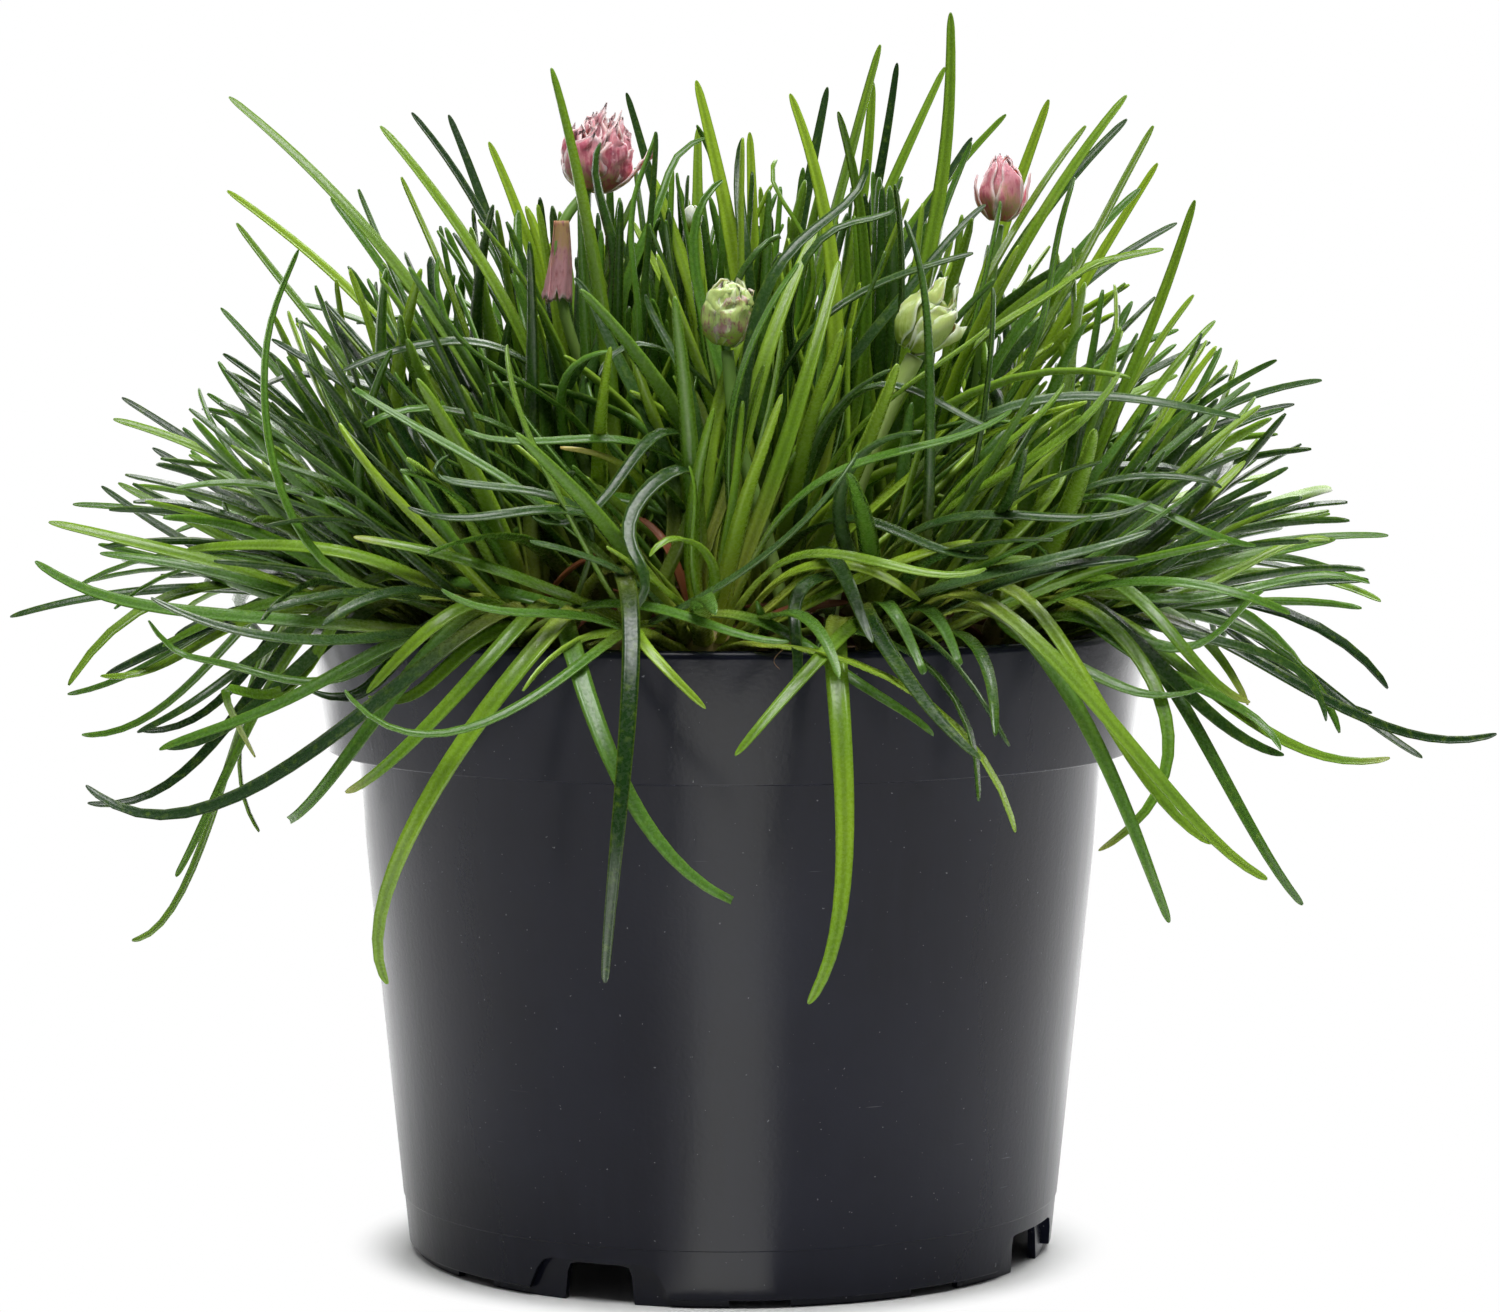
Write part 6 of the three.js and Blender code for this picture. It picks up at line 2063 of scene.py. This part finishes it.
class BuildLeaves(Operator):
    """Grows the cushion of leaves, tuft by tuft"""

    bl_idname = "thrift.leaves"
    bl_label = "Leaves"

    def execute(self, context):
        settings = context.scene.thrift_leaves
        crowns = all_crowns()
        cushion = standing_things(crowns)
        frame_draw = seeded_draws(FRAME_SEED)
        grow_placed_leaves(crowns, cushion, SHOWN_LEAVES, SHOWN_STATIONS, frame_draw)
        grow_filling_leaves(crowns, cushion, frame_draw)
        draw = seeded_draws(FINER_SEED)
        grow_placed_leaves(crowns, cushion, FRONT_LEAVES, SHOWN_STATIONS, draw, FINER_SIDES, PLACED_GAP)
        extras = {
            "leaves_outer": settings.outer_extra,
            "leaves_inner": settings.inner_extra,
            "leaves_middle": settings.middle_extra,
        }
        grow_extra_leaves(crowns, cushion, extras, draw)
        grow_dead_leaves(crowns, draw)
        finish = leaf_finish(settings)
        for crown in crowns:
            settle(f"tuft_{crown['name']}", tuft_mesh(crown, draw), finish, "leaf", crown["name"])
        return {"FINISHED"}


class BuildStalks(Operator):
    """Draws the flower stalks"""

    bl_idname = "thrift.stalks"
    bl_label = "Flower stalks"

    def execute(self, context):
        settings = context.scene.thrift_flowers
        green = stalk_finish("stalk", *colours(settings, "stalk_low", "stalk_high"))
        pale = stalk_finish("pale_stalk", *colours(settings, "pale_stalk_low", "pale_stalk_high"))
        for name in FLOWERS:
            finish, slot = (pale, "pale_stalk") if name == "pale_bud" else (green, "stalk")
            settle(f"stem_of_{name}", stalk_mesh(name), finish, slot, f"stalk_{name}")
        return {"FINISHED"}


class BuildHeads(Operator):
    """Forms the flower heads, bract by bract"""

    bl_idname = "thrift.heads"
    bl_label = "Flower heads"

    def execute(self, context):
        settings = context.scene.thrift_flowers
        foot, pink, maroon, papery = colours(settings, "bract_foot", "pink", "maroon", "papery")
        green, purple, pale = colours(settings, "bract_green", "bract_purple", "pale_green")
        white = tuple(settings.young_white)
        finishes = {
            "pink_bract": bract_finish("pink_bract", foot, pink, maroon, papery, 0.85, 0.26, 0.6),
            "green_bract": bract_finish("green_bract", green, pale, purple, papery, 0.9, 0.14, 0.3),
            "pale_bract": bract_finish("pale_bract", green, pale, green, white, 0.6, 0.1, 0.6),
            "white_bract": bract_finish("white_bract", green, white, white, white, 0.5, 0.3),
        }
        for name, head in HEADS.items():
            settle(f"head_of_{name}", head_mesh(name), finishes[head["slot"]], head["slot"], name)
        return {"FINISHED"}


class BuildSheath(Operator):
    """Rolls the dry sheath round the stalk of the open head"""

    bl_idname = "thrift.sheath"
    bl_label = "Sheath"

    def execute(self, context):
        settings = context.scene.thrift_flowers
        tan, pink, brown, papery = colours(settings, "sheath_tan", "sheath_pink", "sheath_brown", "papery")
        finish = bract_finish("papery_sheath", tan, pink, brown, papery, 0.9, 0.45)
        settle("papery_sheath", sheath_mesh(), finish, "papery_sheath", "sheath")
        return {"FINISHED"}


def add_light(name, place, aim, width, height, power):
    """A soft rectangular light at a place in metres, turned to what it aims at."""
    data = bpy.data.lights.new(name, "AREA")
    data.shape = "RECTANGLE"
    data.size = width
    data.size_y = height
    data.energy = power
    light = fresh_object(name, data)
    light.visible_camera = False
    light.location = place
    light.rotation_euler = (Vector(aim) - Vector(place)).to_track_quat("-Z", "Y").to_euler()


def floor_mesh(radius):
    """A round level floor."""
    reach = radius / MM
    turns = circle(FLOOR_SIDES)
    ring = np.stack([np.cos(turns), np.sin(turns), 0 * turns], axis=-1) * reach
    vertices = np.concatenate([[[0, 0, 0]], *(ring * share for share in FLOOR_RINGS)])
    faces = [[0, 1 + i, 1 + (i + 1) % FLOOR_SIDES] for i in range(FLOOR_SIDES)]
    faces += [[index + 1 for index in reversed(face)] for face in ring_faces(len(FLOOR_RINGS), FLOOR_SIDES)]
    shape = Shape()
    shape.add(vertices, faces)
    return shape.mesh("floor")


def lay_card(glow):
    """Lays a glowing fan on the floor in front, which only the pot's gloss mirrors, as an upright sheen."""
    edges = []
    for bearing, _ in CARD_GLOW:
        turn = math.radians(bearing)
        for distance in CARD_DISTANCES:
            edges.append([distance * math.sin(turn), CARD_START - distance * math.cos(turn), CARD_HEIGHT])
    faces = [[2 * i, 2 * i + 1, 2 * i + 3, 2 * i + 2] for i in range(len(CARD_GLOW) - 1)]
    shape = Shape("glow")
    shape.add(edges, faces, glow=np.repeat([share for _, share in CARD_GLOW], 2))
    card = fresh_object("glowing_card", shape.mesh("glowing_card"))
    card.data.materials.append(card_finish(glow))
    for rays in ("camera", "diffuse", "transmission", "volume_scatter", "shadow"):
        setattr(card, f"visible_{rays}", False)


def white_surround(strength):
    """Plain white where the camera looks past the floor. The object is lit from the sides and from behind."""
    graph = Graph(bpy.data.worlds.new("surround"))
    way = graph.node("ShaderNodeTexCoord", out="Generated")
    across = graph.node("ShaderNodeSeparateXYZ", None, {"Vector": way}, 1)
    light = 0.06 + 0.1 * graph.ramp(across, -0.3, 0.2) + 2.2 * graph.ramp(across, 0.35, 0.9)
    lit = graph.node("ShaderNodeBackground", None, {"Color": (1, 1, 1, 1), "Strength": light * strength})
    seen = graph.node("ShaderNodeBackground", None, {"Color": (1, 1, 1, 1), "Strength": 1.0})
    camera = graph.node("ShaderNodeLightPath", out="Is Camera Ray")
    mixed = graph.node("ShaderNodeMixShader", None, {0: camera, 1: lit, 2: seen})
    graph.node("ShaderNodeOutputWorld", None, {"Surface": mixed})
    bpy.context.scene.world = graph.owner


class BuildStage(Operator):
    """Lays the pale floor, sets the lights and stands the camera where the photograph was taken"""

    bl_idname = "thrift.stage"
    bl_label = "Stage"

    def execute(self, context):
        settings = context.scene.thrift_stage
        scene = context.scene
        scene.view_settings.view_transform = "Standard"
        floor = fresh_object("floor", floor_mesh(settings.floor_radius))
        floor.data.materials.append(floor_finish())
        white_surround(settings.surround)
        add_light("key_light", *KEY_LIGHT, settings.key_power)
        add_light("back_light", *BACK_LIGHT, settings.back_power)
        lay_card(settings.card_glow)
        camera = fresh_object("camera", bpy.data.cameras.new("camera"))
        camera.data.sensor_width = SENSOR_WIDTH
        camera.data.lens = settings.lens
        camera.data.clip_start = 0.01
        camera.location = CAMERA_PLACE
        camera.rotation_euler = (math.pi / 2 - CAMERA_DIP, 0, 0)
        scene.camera = camera
        return {"FINISHED"}


OPERATORS = (BuildPot, BuildCompost, BuildLeaves, BuildStalks, BuildHeads, BuildSheath, BuildStage)


class ThriftPanel(Panel):
    """Lists the pieces of the potted thrift"""

    bl_idname = "THRIFT_PT_pieces"
    bl_label = "Potted thrift"
    bl_space_type = "VIEW_3D"
    bl_region_type = "UI"
    bl_category = "Thrift"

    def draw(self, context):
        layout = self.layout
        for operator in OPERATORS:
            layout.operator(operator.bl_idname)
        for attribute, group in SETTINGS.items():
            box = layout.box()
            for name in group.__annotations__:
                box.prop(getattr(context.scene, attribute), name)


def register():
    for group in SETTINGS.values():
        bpy.utils.register_class(group)
    for attribute, group in SETTINGS.items():
        setattr(bpy.types.Scene, attribute, PointerProperty(type=group))
    for operator in OPERATORS:
        bpy.utils.register_class(operator)
    bpy.utils.register_class(ThriftPanel)


def unregister():
    bpy.utils.unregister_class(ThriftPanel)
    for operator in reversed(OPERATORS):
        bpy.utils.unregister_class(operator)
    for attribute, group in SETTINGS.items():
        delattr(bpy.types.Scene, attribute)
        bpy.utils.unregister_class(group)


def main():
    register()
    bpy.ops.thrift.stage()
    bpy.ops.thrift.pot()
    bpy.ops.thrift.compost()
    bpy.ops.thrift.leaves()
    bpy.ops.thrift.stalks()
    bpy.ops.thrift.heads()
    bpy.ops.thrift.sheath()


if __name__ == "__main__":
    main()
